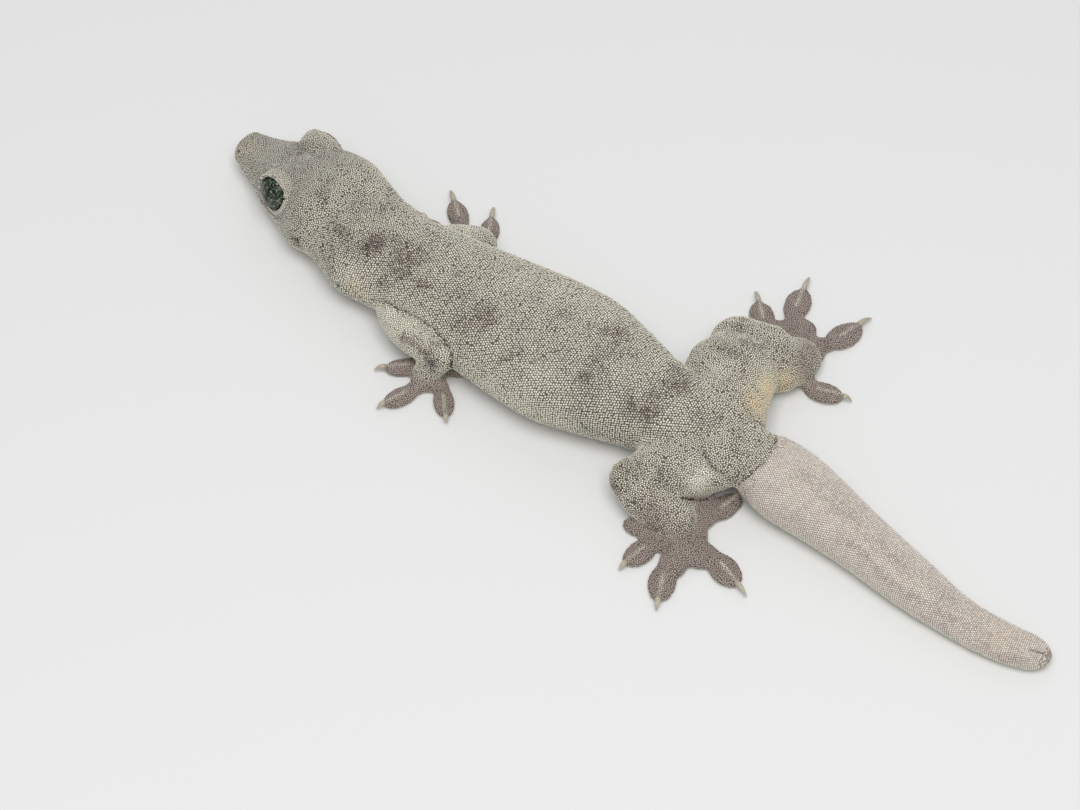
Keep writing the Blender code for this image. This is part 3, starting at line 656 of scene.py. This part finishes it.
def rowPoints(y, odd):
    # Places round the body at one row, counted down both sides from the middle of the back
    centre, left = spineAt(y)
    base = readOff(rowPlan["pitches"], y)
    found = []
    for side in (1.0, -1.0):
        places, counts, total, last = [], [], 0.0, None
        for i in range(rowPlan["rays"]):
            angle = math.radians(90.0 - rowPlan["turn"] * i)
            way = left * (side * math.cos(angle)) + upward * math.sin(angle)
            hit, normal = skinTree.ray_cast(centre, way, rowPlan["reach"] * mm)[:2]
            if hit is None:
                break
            pitch = base if normal.z > scalePlan["under"] else scalePlan["bellyPitch"]
            if last is not None:
                total += (hit - last).length / (pitch * mm)
            last = hit
            places.append(np.array(hit))
            counts.append(total)
        if len(places) < 2:
            continue
        places = np.array(places)
        first = 0.5 if odd else (0.0 if side > 0 else 1.0)
        at = np.arange(first, counts[-1], 1.0)
        found.append(np.stack([np.interp(at, counts, places[:, k]) for k in range(3)], axis=1))
    return np.concatenate(found) if found else np.zeros((0, 3))


def trunkPoints():
    rows, y, odd = [], rowPlan["from"], False
    while y < rowPlan["to"]:
        rows.append(rowPoints(y, odd))
        y += rowPlan["apart"] * readOff(rowPlan["pitches"], y)
        odd = not odd
    points = np.concatenate(rows)
    onTail = points[:, 1:2] > (rowPlan["tailFrom"] + shift.y) * mm
    loose = np.where(onTail, rowPlan["tailJitter"], rowPlan["jitter"])
    points += rng.normal(0.0, 1.0, points.shape) * loose * mm
    return points[[fleshNodes[owner].startswith(trunkNodes) for owner in ownersOf(points)]]


def pitchOf(points, normals, owners):
    # The distance between scales at these places
    y = points[:, 1] / mm - shift.y
    pitch = readOff(rowPlan["pitches"], y)
    for index, name in enumerate(fleshNodes):
        here = owners == index
        if name.startswith(("head", "lower_jaw")):
            pitch[here] = readOff(headPitches, y[here])
        elif name.startswith(("hand", "foot")):
            pitch[here] = scalePlan["footPitch"]
        elif not name.startswith(trunkNodes):
            pitch[here] = scalePlan["armPitch" if "arm" in name else "legPitch"]
    under = (normals[:, 2] < scalePlan["under"]) & (points[:, 2] < scalePlan["underHeight"] * mm)
    pitch = np.where(under, scalePlan["bellyPitch"], pitch)
    lips = distanceTo(points, mouthLine, 2.0 * mm)
    return np.where(lips < scalePlan["lipWidth"] * mm, scalePlan["lipPitch"], pitch)


skinPitches = smoothed(pitchOf(skinPoints, skinNormals, skinOwners), 3)


def scattered():
    # Random places on the skin away from the rows, more than can stay
    mesh = skin.data
    mesh.calc_loop_triangles()
    faces = readRows(mesh.loop_triangles, "vertices", np.int32)
    covered, fewer = scalePlan["rowedShare"]
    rowed = share(trunkNodes, 8) > covered
    corner = skinPoints[faces]
    area = 0.5 * np.linalg.norm(np.cross(corner[:, 1] - corner[:, 0], corner[:, 2] - corner[:, 0]), axis=1)
    wish = area / (skinPitches[faces].mean(1) * mm) ** 2 * (1.0 - fewer * rowed[faces].all(1))
    count = int(wish.sum() * scalePlan["tooMany"])
    picked = rng.choice(len(faces), count, p=wish / wish.sum())
    one, two = rng.random(count), rng.random(count)
    flip = one + two > 1.0
    one[flip], two[flip] = 1.0 - one[flip], 1.0 - two[flip]
    start, one, two = corner[picked, 0], one[:, None], two[:, None]
    return start + one * (corner[picked, 1] - start) + two * (corner[picked, 2] - start)


def placeTree(points):
    tree = KDTree(len(points))
    for i, point in enumerate(points):
        tree.insert(point, i)
    tree.balance()
    return tree


skinPlaces = placeTree(skinPoints)


def nearestVertices(points):
    return np.array([skinPlaces.find(point)[1] for point in points])


aroundCell = [(a, b, c) for a in (-1, 0, 1) for b in (-1, 0, 1) for c in (-1, 0, 1)]


def crowded(taken, cell, place, least):
    # Whether a place already taken lies nearer than the root of least
    a, b, c = cell
    x, y, z = place
    for da, db, dc in aroundCell:
        for px, py, pz in taken.get((a + da, b + db, c + dc), ()):
            if (px - x) ** 2 + (py - y) ** 2 + (pz - z) ** 2 < least:
                return True
    return False


def spread(fixed, loose):
    # Takes places one by one where they are far enough from those already taken
    every = np.concatenate([fixed, loose])
    keys = np.floor(every / (scalePlan["cell"] * mm)).astype(int).tolist()
    spacing = np.where(np.arange(len(every)) < len(fixed), scalePlan["rowSpacing"], scalePlan["spacing"])
    least = (spacing * (skinPitches[nearestVertices(every)] * mm)) ** 2
    taken, kept = {}, []
    for i, place in enumerate(every.tolist()):
        if not crowded(taken, keys[i], place, least[i]):
            taken.setdefault(tuple(keys[i]), []).append(place)
            kept.append(i)
    return every[kept], np.array(kept) < len(fixed)


def relax(points, fixed):
    # Moves the free places apart until they lie evenly, and back onto the skin
    pitches = skinPitches[nearestVertices(points)] * mm
    places = [Vector(point) for point in points]
    free = np.nonzero(~fixed)[0]
    for _ in range(scalePlan["relaxSteps"]):
        tree = placeTree(places)
        moved = {}
        for i in free:
            place, reach, push = places[i], scalePlan["relaxReach"] * pitches[i], Vector()
            for near, index, gap in tree.find_n(place, 7):
                if index != i and 0.0 < gap < reach:
                    push += (place - near) * ((reach - gap) / gap)
            moved[i] = skinTree.find_nearest(place + push * scalePlan["relaxPush"])[0]
        for i, place in moved.items():
            places[i] = place
    return np.array(places)


def eyeRims():
    # Rows of scales round the opening of each eye
    places = []
    reach = eyePlan["rimReach"]
    for name in eyes:
        centre, look, across, up = eyeFrame(name)
        for row, radius in enumerate(eyePlan["rimRows"]):
            count = int(2.0 * math.pi * radius / eyePlan["rimPitch"])
            for i in range(count):
                angle = 2.0 * math.pi * (i + 0.5 * row) / count
                out = across * math.cos(angle) + up * math.sin(angle)
                hit = skinTree.ray_cast(centre + (out * radius + look * reach) * mm, -look, reach * mm)[0]
                if hit is not None and (hit - centre).length < eyePlan["rimDepth"] * mm:
                    places.append(np.array(hit))
    return np.array(places)


def inEye(points):
    # Places inside the sockets, which stay bare
    return np.any([besideLook(name, points) < eyePlan["bare"] for name in eyes], axis=0)


def lipRows():
    # A row of larger scales above the mouth line and one below it
    places, travelled = [], 0.0
    for one, two in zip(mouthLine, mouthLine[1:]):
        step = np.linalg.norm(two - one)
        travelled += step
        if step < 1.0 * mm and travelled >= scalePlan["lipStep"] * mm:
            travelled = 0.0
            for height in scalePlan["lipHeights"]:
                places.append(np.array(skinTree.find_nearest(Vector(two) + upward * (height * mm))[0]))
    return np.array(places)


rowed = trunkPoints()
rowed = rowed[~inEye(rowed)]
print("stage: rows of scales placed,", len(rowed))
fixed = np.concatenate([eyeRims(), lipRows(), rowed])
loose = scattered()
loose = loose[~(inEye(loose) | onClaw(loose))]
scalePlaces, scaleFixed = spread(fixed, loose)
print("stage: scales spread,", len(scalePlaces))
scalePlaces = relax(scalePlaces, scaleFixed)
print("stage: scales relaxed")


def roomOf(points):
    # How far apart the scales lie round each place
    tree = placeTree(points)
    return np.array([np.mean([gap for _, _, gap in tree.find_n(point, 4)[1:]]) for point in points])


def lieOf(points, normals, owners):
    # The way that the scales lie: towards the tail, or out along a limb
    lie = np.zeros(points.shape)
    for index, name in enumerate(fleshNodes):
        side = {"left": 1.0, "right": -1.0}.get(name.split("_")[-1])
        lie[owners == index] = (side, 0.25, -0.2) if side else (0.0, 1.0, 0.0)
    lie -= normals * (lie * normals).sum(1)[:, None]
    lie[np.linalg.norm(lie, axis=1) < 0.05] = upward
    return lie / np.linalg.norm(lie, axis=1)[:, None]


# Half length, half width, place along, height and crown value of each ring of a scale, then its top point.
# The crown value sets how much painted crevice shade the ring gets.
domePlan = {
    "sides": 5,
    "rings": ((0.53, 0.5, 0.0, -0.25, 0.0), (0.37, 0.35, 0.03, 0.76, 0.8)),
    "top": (0.05, 0.0, 1.0, 1.0),
    "mapSize": 0.0028,
}


def domeTemplate():
    # Points of one scale: along the lie, across it, height, and how far up its side
    sides = domePlan["sides"]
    turn = 2.0 * np.pi * np.arange(sides) / sides
    even = np.ones(sides)
    rings = [
        np.stack([np.cos(turn) * long + along, np.sin(turn) * wide, even * height, even * crown], axis=1)
        for long, wide, along, height, crown in domePlan["rings"]
    ]
    faces = []
    for i in range(sides):
        j = (i + 1) % sides
        faces += [(i, j, sides + j), (i, sides + j, sides + i), (sides + i, sides + j, 2 * sides)]
    return np.concatenate([*rings, [domePlan["top"]]]), np.array(faces)


def buildScales(name, places, nearest, room, unwrap, heights):
    corners, faces = domeTemplate()
    count, total = len(corners), len(places)
    normals = skinNormals[nearest]
    lie = lieOf(places, normals, skinOwners[nearest])
    pitch = skinPitches[nearest] * mm
    low, high = scalePlan["size"]
    size = np.clip(room, low * pitch, high * pitch) * rng.uniform(*scalePlan["sizeVaries"], total)
    rise = pitch * scalePlan["height"] * heights * rng.uniform(*scalePlan["heightVaries"], total)
    points = places[:, None]
    for way, k, measure in ((lie, 0, size), (np.cross(normals, lie), 1, size), (normals, 2, rise)):
        points = points + way[:, None] * (corners[None, :, k] * measure[:, None])[:, :, None]
    points = points.reshape(-1, 3)
    points[:, 2] = np.maximum(points[:, 2], 0.0)
    allFaces = (faces[None] + (np.arange(total) * count)[:, None, None]).reshape(-1, 3)
    mesh = bpy.data.meshes.new(name)
    mesh.from_pydata(points.tolist(), [], allFaces.tolist())
    mesh.shade_smooth()
    second = np.repeat(secondMarks[nearest], count, axis=0)
    second[:, 3] = np.tile(corners[:, 3], total)
    setColours(mesh, "marksOne", np.repeat(firstMarks[nearest], count, axis=0))
    setColours(mesh, "marksTwo", second)
    shade = mesh.attributes.new("shade", "FLOAT", "POINT")
    shade.data.foreach_set("value", np.repeat(rng.uniform(-1.0, 1.0, total), count).astype(np.float32))
    spots = (unwrap[:, None] + (corners[:, :2] * domePlan["mapSize"])[None]).reshape(-1, 2)
    layer = mesh.uv_layers.new(name="OFBake")
    layer.data.foreach_set("uv", spots[allFaces.ravel()].astype(np.float32).ravel())
    return linkObject(name, mesh)


mapEdge, mapWidth = 0.01, 0.98  # of a coat piece's UV map


def roundUnwrap(places, axis):
    # Round an axis: the turn about it across the map, the way along it up the map
    axis = np.array(axis) / np.linalg.norm(axis)
    side = np.cross(axis, upward)
    side /= np.linalg.norm(side)
    offset = places - places.mean(0)
    turn = np.arctan2(offset @ np.cross(side, axis), offset @ side) / (2.0 * np.pi) + 0.5
    along = offset @ axis
    along = (along - along.min()) / (along.max() - along.min())
    return mapEdge + mapWidth * np.stack([turn, along], axis=1)


def flatUnwrap(places, normals):
    # The top and the underside beside each other
    low, high = places.min(0), places.max(0)
    across, along = ((places - low) / (high - low))[:, :2].T
    start = np.where(normals[:, 2] < 0.0, 0.5 + mapEdge, mapEdge)
    return np.stack([start + (0.5 - 2.0 * mapEdge) * across, mapEdge + mapWidth * along], axis=1)


# Coat pieces: the nodes that each covers
coats = {
    "scales_head": ("head", "lower_jaw"),
    "scales_neck": ("neck",),
    "scales_chest": ("chest",),
    "scales_abdomen": ("abdomen",),
    "scales_pelvis": ("pelvis", "tail_base"),
    "scales_tail_front": ("tail_front",),
    "scales_tail_end": ("tail_middle", "tail_tip"),
    "scales_arm_left": ("upper_arm_left", "forearm_left", "hand_left"),
    "scales_arm_right": ("upper_arm_right", "forearm_right", "hand_right"),
    "scales_leg_left": ("thigh_left", "shin_left"),
    "scales_leg_right": ("thigh_right", "shin_right"),
    "scales_foot_left": ("foot_left",),
    "scales_foot_right": ("foot_right",),
}
coatLimit = 13000  # scales in one piece
underScales = {"from": 0.6, "lower": 0.55}  # those on the underside are flatter


def dressSkin():
    nearest = nearestVertices(scalePlaces)
    room = roomOf(scalePlaces)
    bare = skinMarks["line"][nearest] > scalePlan["bareLine"]
    owners = skinOwners[nearest]
    pieces = []
    for name, nodes in coats.items():
        wanted = np.isin(owners, [fleshNodes.index(node) for node in nodes])
        chosen = np.nonzero(wanted & ~bare)[0]
        chosen = chosen[np.argsort(scalePlaces[chosen, 1])]
        parts = max(1, math.ceil(len(chosen) / coatLimit))
        for k, part in enumerate(np.array_split(chosen, parts)):
            places, near = scalePlaces[part], nearest[part]
            if "foot" in name or "arm" in name:
                unwrap = flatUnwrap(places, skinNormals[near])
            else:
                unwrap = roundUnwrap(places, (1.0, 0.3, 0.0) if "leg" in name else (0.0, 1.0, 0.0))
            under = smoothStep(-skinNormals[near, 2] / underScales["from"])
            title = name if parts == 1 else f"{name}_{k + 1}"
            heights = 1.0 - underScales["lower"] * under
            pieces.append(buildScales(title, places, near, room[part], unwrap, heights))
    return pieces


coatPieces = dressSkin()
print("stage: scales built,", sum(len(piece.data.polygons) for piece in coatPieces), "triangles in",
      len(coatPieces), "pieces")


def smoothSides(bm):
    # The caps, which have many corners, stay flat
    for face in bm.faces:
        face.smooth = len(face.verts) < 6


# Eyeballs
def makeEye(name):
    centre, look, across, up = eyeFrame(name)
    bm = bmesh.new()
    radius = eyePlan["radius"] * mm
    segments, rings = eyePlan["segments"]
    bmesh.ops.create_uvsphere(bm, u_segments=segments, v_segments=rings, radius=radius)
    cut = bmesh.ops.bisect_plane(
        bm, geom=bm.verts[:] + bm.edges[:] + bm.faces[:], plane_co=(0, 0, eyePlan["back"] * mm),
        plane_no=(0, 0, 1), clear_inner=True
    )
    rim = [item for item in cut["geom_cut"] if isinstance(item, bmesh.types.BMEdge)]
    bmesh.ops.holes_fill(bm, edges=rim)
    layer = bm.loops.layers.uv.new("iris")
    for face in bm.faces:
        for loop in face.loops:
            flat = Vector((loop.vert.co.x, loop.vert.co.y)) / radius
            loop[layer].uv = (0.5 + 0.5 * flat.x, 0.5 + 0.5 * flat.y)
    smoothSides(bm)
    turn = Matrix((across, up, look)).transposed().to_4x4()
    bmesh.ops.transform(bm, matrix=Matrix.Translation(centre) @ turn, verts=bm.verts)
    return makeObject(f"eyeball_{name.split('_')[1]}", bm)


# Claws: how far along the reach, height and radius of each ring
clawSides = 12
clawRings = ((-0.35, 1.72, 0.5), (0.0, 1.8, 0.56), (0.2, 1.78, 0.52), (0.4, 1.7, 0.45), (0.6, 1.52, 0.36),
             (0.8, 1.2, 0.24), (0.93, 0.95, 0.13), (0.99, 0.8, 0.04))


def makeClaws(foot):
    bm = bmesh.new()
    for middle, way, pad, reach in digitFrames(foot):
        turn = way.to_track_quat("Z", "Y").to_matrix().to_4x4()
        edges = None
        for along, height, radius in clawRings:
            place = Matrix.Translation((middle + way * (pad + reach * along) + upward * height) * mm)
            made = bmesh.ops.create_circle(
                bm, cap_ends=False, segments=clawSides, radius=radius * mm, matrix=place @ turn
            )["verts"]
            ring = list({edge for vert in made for edge in vert.link_edges})
            if edges is None:
                bmesh.ops.contextual_create(bm, geom=made)
            else:
                bmesh.ops.bridge_loops(bm, edges=edges + ring)
            edges = ring
        bmesh.ops.contextual_create(bm, geom=made)
    bmesh.ops.recalc_face_normals(bm, faces=bm.faces)
    smoothSides(bm)
    return makeObject(f"claws_{foot}", bm)


eyeballs = {name: makeEye(name) for name in eyes}
claws = {foot: makeClaws(foot) for foot in digits}
print("stage: eyes and claws made")


# Materials: each new node stands to the right of the one before it, with its inputs linked or set
def addNode(tree, kind, inputs=None, **values):
    node = tree.nodes.new(kind)
    node.location = (200.0 * len(tree.nodes), 0.0)
    for key, value in values.items():
        setattr(node, key, value)
    for key, value in (inputs or {}).items():
        if isinstance(value, bpy.types.NodeSocket):
            tree.links.new(value, node.inputs[key])
        else:
            node.inputs[key].default_value = value
    return node


def mixColour(tree, factor, first, second, mode="MIX"):
    inputs = {0: factor, 6: first, 7: second}
    return addNode(tree, "ShaderNodeMix", inputs, data_type="RGBA", blend_type=mode).outputs[2]


def maths(tree, operation, one, two=0.0, clamp=False):
    return addNode(tree, "ShaderNodeMath", {0: one, 1: two}, operation=operation, use_clamp=clamp).outputs[0]


def softStep(tree, value, low, high):
    # Nothing below the low value and one above the high one
    inputs = {"Value": value, "From Min": low, "From Max": high}
    return addNode(tree, "ShaderNodeMapRange", inputs, interpolation_type="SMOOTHSTEP").outputs["Result"]


def newMaterial(name, finish):
    material = bpy.data.materials.new(name)
    material.use_nodes = True
    tree = material.node_tree
    shader = tree.nodes["Principled BSDF"]
    for socket, value in finish.items():
        shader.inputs[socket].default_value = value
    return material, tree, shader


skinTints = {
    "trunk": (0.74, 0.71, 0.59, 1.0),
    "head": (0.52, 0.51, 0.445, 1.0),
    "brown": (0.33, 0.28, 0.235, 1.0),
    "pale": (0.84, 0.83, 0.71, 1.0),
    "tail": (0.79, 0.735, 0.67, 1.0),
    "toes": (0.42, 0.355, 0.32, 1.0),
    "warm": (0.86, 0.73, 0.47, 1.0),
    # line: the colour of the painted shade in creases, grooves, sockets and nostrils
    "line": (0.10, 0.072, 0.06, 1.0),
    "green": (0.60, 0.64, 0.55, 1.0),
    "lilac": (0.52, 0.45, 0.45, 1.0),
    "deepGapSkinAndShade": (0.12, 0.10, 0.09, 1.0),  # how much darker the gaps between the scales are: their dark skin, and painted shade of the crevices where the scales meet
    "faintGapSkinAndShade": (0.5, 0.45, 0.41, 1.0),
}
# How much of each effect shows. The three noises have a scale, a detail, and where they begin and are full.
patternPlan = {
    "broad": (150.0, 3.0, 0.5, 0.68),
    "medium": (330.0, 3.0, 0.52, 0.7),
    "tint": (210.0, 2.0, 0.5, 0.66),
    "green": 0.35,
    "lilac": 0.3,
    "brown": 0.66,
    "speckle": 0.3,
    "calm": {"pale": 0.7, "tail": 0.85, "warm": 0.7},  # these have fewer speckles
    "vary": 0.2,
    "varyEven": 0.3,
    "full": (0.05, 1.05),
    "faint": {"head": 0.3, "toes": 0.4},  # these have a fainter net, with less painted crevice shade
}


def makeMarkingGroup():
    group = bpy.data.node_groups.new("geckoMarkings", "ShaderNodeTree")
    for name, kind in (("Marks one", "Color"), ("Head", "Float"), ("Marks two", "Color"), ("Vary", "Float")):
        group.interface.new_socket(name=name, in_out="INPUT", socket_type=f"NodeSocket{kind}")
    for name, kind in (("Colour", "Color"), ("Dark", "Float"), ("Net", "Color")):
        group.interface.new_socket(name=name, in_out="OUTPUT", socket_type=f"NodeSocket{kind}")
    source = addNode(group, "NodeGroupInput").outputs
    place = addNode(group, "ShaderNodeTexCoord").outputs["Object"]
    brown, pale, tail = addNode(group, "ShaderNodeSeparateColor", {0: source["Marks one"]}).outputs
    toes, warm, line = addNode(group, "ShaderNodeSeparateColor", {0: source["Marks two"]}).outputs

    def noise(name):
        scale, detail, low, high = patternPlan[name]
        inputs = {"Vector": place, "Scale": scale, "Detail": detail}
        return softStep(group, addNode(group, "ShaderNodeTexNoise", inputs).outputs["Fac"], low, high)

    def times(one, two):
        return maths(group, "MULTIPLY", one, two)

    def plus(one, two, clamp=False):
        return maths(group, "ADD", one, two, clamp)

    def blend(factor, first, second):
        # Each colour is a tint's name or a colour that is already mixed
        first, second = (skinTints[one] if isinstance(one, str) else one for one in (first, second))
        return mixColour(group, factor, first, second)

    broad, medium, tint = noise("broad"), noise("medium"), noise("tint")
    colour = blend(source["Head"], "trunk", "head")
    colour = blend(times(tint, patternPlan["green"]), colour, "green")
    colour = blend(tail, colour, blend(times(medium, patternPlan["lilac"]), "tail", "lilac"))
    colour = blend(toes, colour, "toes")
    colour = blend(pale, colour, "pale")
    calm = plus(times(pale, patternPlan["calm"]["pale"]), times(tail, patternPlan["calm"]["tail"]))
    calm = plus(calm, times(warm, patternPlan["calm"]["warm"]), clamp=True)
    speckle = plus(times(medium, patternPlan["speckle"]), times(broad, patternPlan["speckle"]))
    speckle = times(speckle, maths(group, "SUBTRACT", 1.0, calm))
    dark = plus(times(brown, patternPlan["brown"]), speckle)
    # In a brown patch the scales differ more than elsewhere
    uneven = plus(plus(dark, patternPlan["varyEven"]), toes)
    vary = times(times(source["Vary"], patternPlan["vary"]), uneven)
    chosen = softStep(group, plus(dark, vary), *patternPlan["full"])
    # The line mask lays painted shade into creases and grooves
    for factor, name in ((chosen, "brown"), (warm, "warm"), (line, "line")):
        colour = blend(factor, colour, name)
    faint = plus(calm, times(source["Head"], patternPlan["faint"]["head"]))
    faint = plus(faint, times(toes, patternPlan["faint"]["toes"]), clamp=True)
    # The net darkens the gaps between the scales with their dark skin colour and painted crevice shade
    results = {"Colour": colour, "Dark": chosen, "Net": blend(faint, "deepGapSkinAndShade", "faintGapSkinAndShade")}
    addNode(group, "NodeGroupOutput", results)
    return group


def addMarks(tree, group):
    # The shared markings on a material, and the height up a scale's side
    one = addNode(tree, "ShaderNodeAttribute", attribute_name="marksOne").outputs
    two = addNode(tree, "ShaderNodeAttribute", attribute_name="marksTwo").outputs
    marks = addNode(tree, "ShaderNodeGroup", node_tree=group)
    for name, value in (("Marks one", one["Color"]), ("Head", one["Alpha"]), ("Marks two", two["Color"])):
        tree.links.new(value, marks.inputs[name])
    return marks, two["Alpha"]


skinFinish = {"Roughness": 0.7}
skinGrain = {"cell": 0.4, "depth": 0.06, "vary": 0.3}


def makeSkinMaterial(group):
    material, tree, shader = newMaterial("bareSkin", skinFinish)
    marks, _ = addMarks(tree, group)
    marks.inputs["Vary"].default_value = skinGrain["vary"]
    # The bare skin shows only in the gaps between the scales, so the net darkens it: dark skin colour and
    # painted crevice shade
    dark = mixColour(tree, 1.0, marks.outputs["Colour"], marks.outputs["Net"], mode="MULTIPLY")
    tree.links.new(dark, shader.inputs["Base Color"])
    place = addNode(tree, "ShaderNodeTexCoord").outputs["Object"]
    cells = addNode(tree, "ShaderNodeTexVoronoi", {"Vector": place, "Scale": 1.0 / (skinGrain["cell"] * mm)})
    inputs = {"Height": cells.outputs["Distance"], "Distance": skinGrain["depth"] * mm}
    bump = addNode(tree, "ShaderNodeBump", inputs, invert=True)
    tree.links.new(bump.outputs["Normal"], shader.inputs["Normal"])
    return material


scaleFinish = {"Roughness": 0.6, "Specular IOR Level": 0.35}
scaleShade = {
    "bright": (1.16, 0.86),  # of the lightest and of the darkest scale
    "side": (0.16, 0.66),  # from the foot, darkened by the net with painted crevice shade, to the crown
    "narrow": 0.3,  # the crown is this much narrower in a dark patch
}


def makeScaleMaterial(group):
    material, tree, shader = newMaterial("granularScales", scaleFinish)
    marks, crown = addMarks(tree, group)
    shade = addNode(tree, "ShaderNodeAttribute", attribute_name="shade").outputs["Fac"]
    tree.links.new(shade, marks.inputs["Vary"])
    high, low = scaleShade["bright"]
    inputs = {"Value": shade, "From Min": -1.0, "To Min": high, "To Max": low}
    bright = addNode(tree, "ShaderNodeMapRange", inputs).outputs["Result"]
    grey = addNode(tree, "ShaderNodeCombineColor", {0: bright, 1: bright, 2: bright}).outputs["Color"]
    top = mixColour(tree, 1.0, marks.outputs["Colour"], grey, mode="MULTIPLY")
    # The foot of each scale takes the net's darkening: dark skin colour and painted shade where the scales
    # meet
    foot = mixColour(tree, 1.0, marks.outputs["Colour"], marks.outputs["Net"], mode="MULTIPLY")
    narrow = maths(tree, "MULTIPLY", marks.outputs["Dark"], scaleShade["narrow"])
    side = softStep(tree, maths(tree, "SUBTRACT", crown, narrow), *scaleShade["side"])
    tree.links.new(mixColour(tree, side, foot, top), shader.inputs["Base Color"])
    return material


eyeFinish = {"Roughness": 0.35, "Specular IOR Level": 0.25, "Coat Weight": 0.2, "Coat Roughness": 0.05}
eyeVeins = {"Scale": 9.0, "Detail": 8.0, "Roughness": 0.62, "Distortion": 0.8}
eyeTints = {
    "dark": (0.006, 0.012, 0.009, 1.0),
    "green": (0.07, 0.10, 0.06, 1.0),
    "silver": (0.36, 0.42, 0.27, 1.0),
    "pupil": (0.004, 0.004, 0.004, 1.0),
}
veinSteps = (("dark", 0.49), ("green", 0.56), ("silver", 0.66))
# Shares of the ball's radius, but for the waves along the slit
pupilPlan = {"width": 0.05, "wave": 0.018, "waves": 22.0, "height": 0.62, "edge": (0.7, 0.84)}


def makeEyeMaterial():
    material, tree, shader = newMaterial("marbledEye", eyeFinish)
    flat = addNode(tree, "ShaderNodeUVMap", uv_map="iris").outputs["UV"]
    inputs = {"Vector": flat, "Location": (-1.0, -1.0, 0.0), "Scale": (2.0, 2.0, 1.0)}
    iris = addNode(tree, "ShaderNodeMapping", inputs).outputs["Vector"]
    veins = addNode(tree, "ShaderNodeTexNoise", {"Vector": iris, **eyeVeins}).outputs["Fac"]
    ramp = addNode(tree, "ShaderNodeValToRGB", {"Fac": veins})
    stops = ramp.color_ramp.elements
    stops.new(veinSteps[1][1])
    for stop, (name, position) in zip(stops, veinSteps):
        stop.position, stop.color = position, eyeTints[name]
    x, y, _ = addNode(tree, "ShaderNodeSeparateXYZ", {0: iris}).outputs
    wave = maths(tree, "SINE", maths(tree, "MULTIPLY", y, pupilPlan["waves"]))
    width = maths(tree, "ADD", maths(tree, "MULTIPLY", wave, pupilPlan["wave"]), pupilPlan["width"])
    slit = maths(tree, "LESS_THAN", maths(tree, "ABSOLUTE", x), width)
    tall = maths(tree, "LESS_THAN", maths(tree, "ABSOLUTE", y), pupilPlan["height"])
    reach = addNode(tree, "ShaderNodeVectorMath", {0: iris}, operation="LENGTH").outputs["Value"]
    colour = mixColour(tree, maths(tree, "MULTIPLY", slit, tall), ramp.outputs["Color"], eyeTints["pupil"])
    colour = mixColour(tree, softStep(tree, reach, *pupilPlan["edge"]), colour, eyeTints["dark"])
    tree.links.new(colour, shader.inputs["Base Color"])
    return material


clawFinish = {"Roughness": 0.35}
clawTints = {"dark": (0.30, 0.25, 0.19, 1.0), "pale": (0.62, 0.56, 0.45, 1.0)}
clawGrain = 1800.0


def makeClawMaterial():
    material, tree, shader = newMaterial("hornClaw", clawFinish)
    place = addNode(tree, "ShaderNodeTexCoord").outputs["Object"]
    grain = addNode(tree, "ShaderNodeTexNoise", {"Vector": place, "Scale": clawGrain}).outputs["Fac"]
    tree.links.new(mixColour(tree, grain, clawTints["dark"], clawTints["pale"]), shader.inputs["Base Color"])
    return material


markingGroup = makeMarkingGroup()
skin.data.materials.append(makeSkinMaterial(markingGroup))
finishes = ((coatPieces, makeScaleMaterial(markingGroup)), (eyeballs.values(), makeEyeMaterial()),
            (claws.values(), makeClawMaterial()))
for pieces, material in finishes:
    for piece in pieces:
        piece.data.materials.append(material)
print("stage: materials made")


# Floor and light, in metres
floorPlan = {"size": 3.0, "finish": {"Base Color": (0.8, 0.8, 0.79, 1.0), "Roughness": 0.9}}
worldPlan = {"Color": (0.97, 0.98, 1.0, 1.0), "Strength": 0.42}
lightPlan = {
    "key": {"place": (0.30, 0.23, 0.93), "size": 0.7, "power": 6.9},
    "fill": {"place": (-0.6, -0.4, 0.8), "size": 0.8, "power": 0.9},
}


def makeFloor():
    bm = bmesh.new()
    bmesh.ops.create_grid(bm, x_segments=2, y_segments=2, size=floorPlan["size"])
    floor = makeObject("floor", bm)
    floor.data.materials.append(newMaterial("paleFloor", floorPlan["finish"])[0])


def makeLights():
    world = bpy.data.worlds.new("studio")
    world.use_nodes = True
    for socket, value in worldPlan.items():
        world.node_tree.nodes["Background"].inputs[socket].default_value = value
    bpy.context.scene.world = world
    for name, plan in lightPlan.items():
        data = bpy.data.lights.new(name, "AREA")
        data.size = plan["size"]
        data.energy = plan["power"]
        lamp = linkObject(name, data)
        lamp.location = plan["place"]
        lamp.rotation_euler = Vector(plan["place"]).to_track_quat("Z", "Y").to_euler()


makeFloor()
makeLights()
bpy.context.scene.view_settings.view_transform = "Standard"

for piece in [skin] + coatPieces + list(claws.values()):
    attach(piece, "root")
    if piece.name.startswith(("claws", "scales_foot")):
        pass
    elif piece.name.startswith("scales_tail"):
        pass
    else:
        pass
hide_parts(*fleshNodes)
for name, piece in eyeballs.items():
    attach(piece, "root")
    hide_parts(name)

print("stage: scene ready")
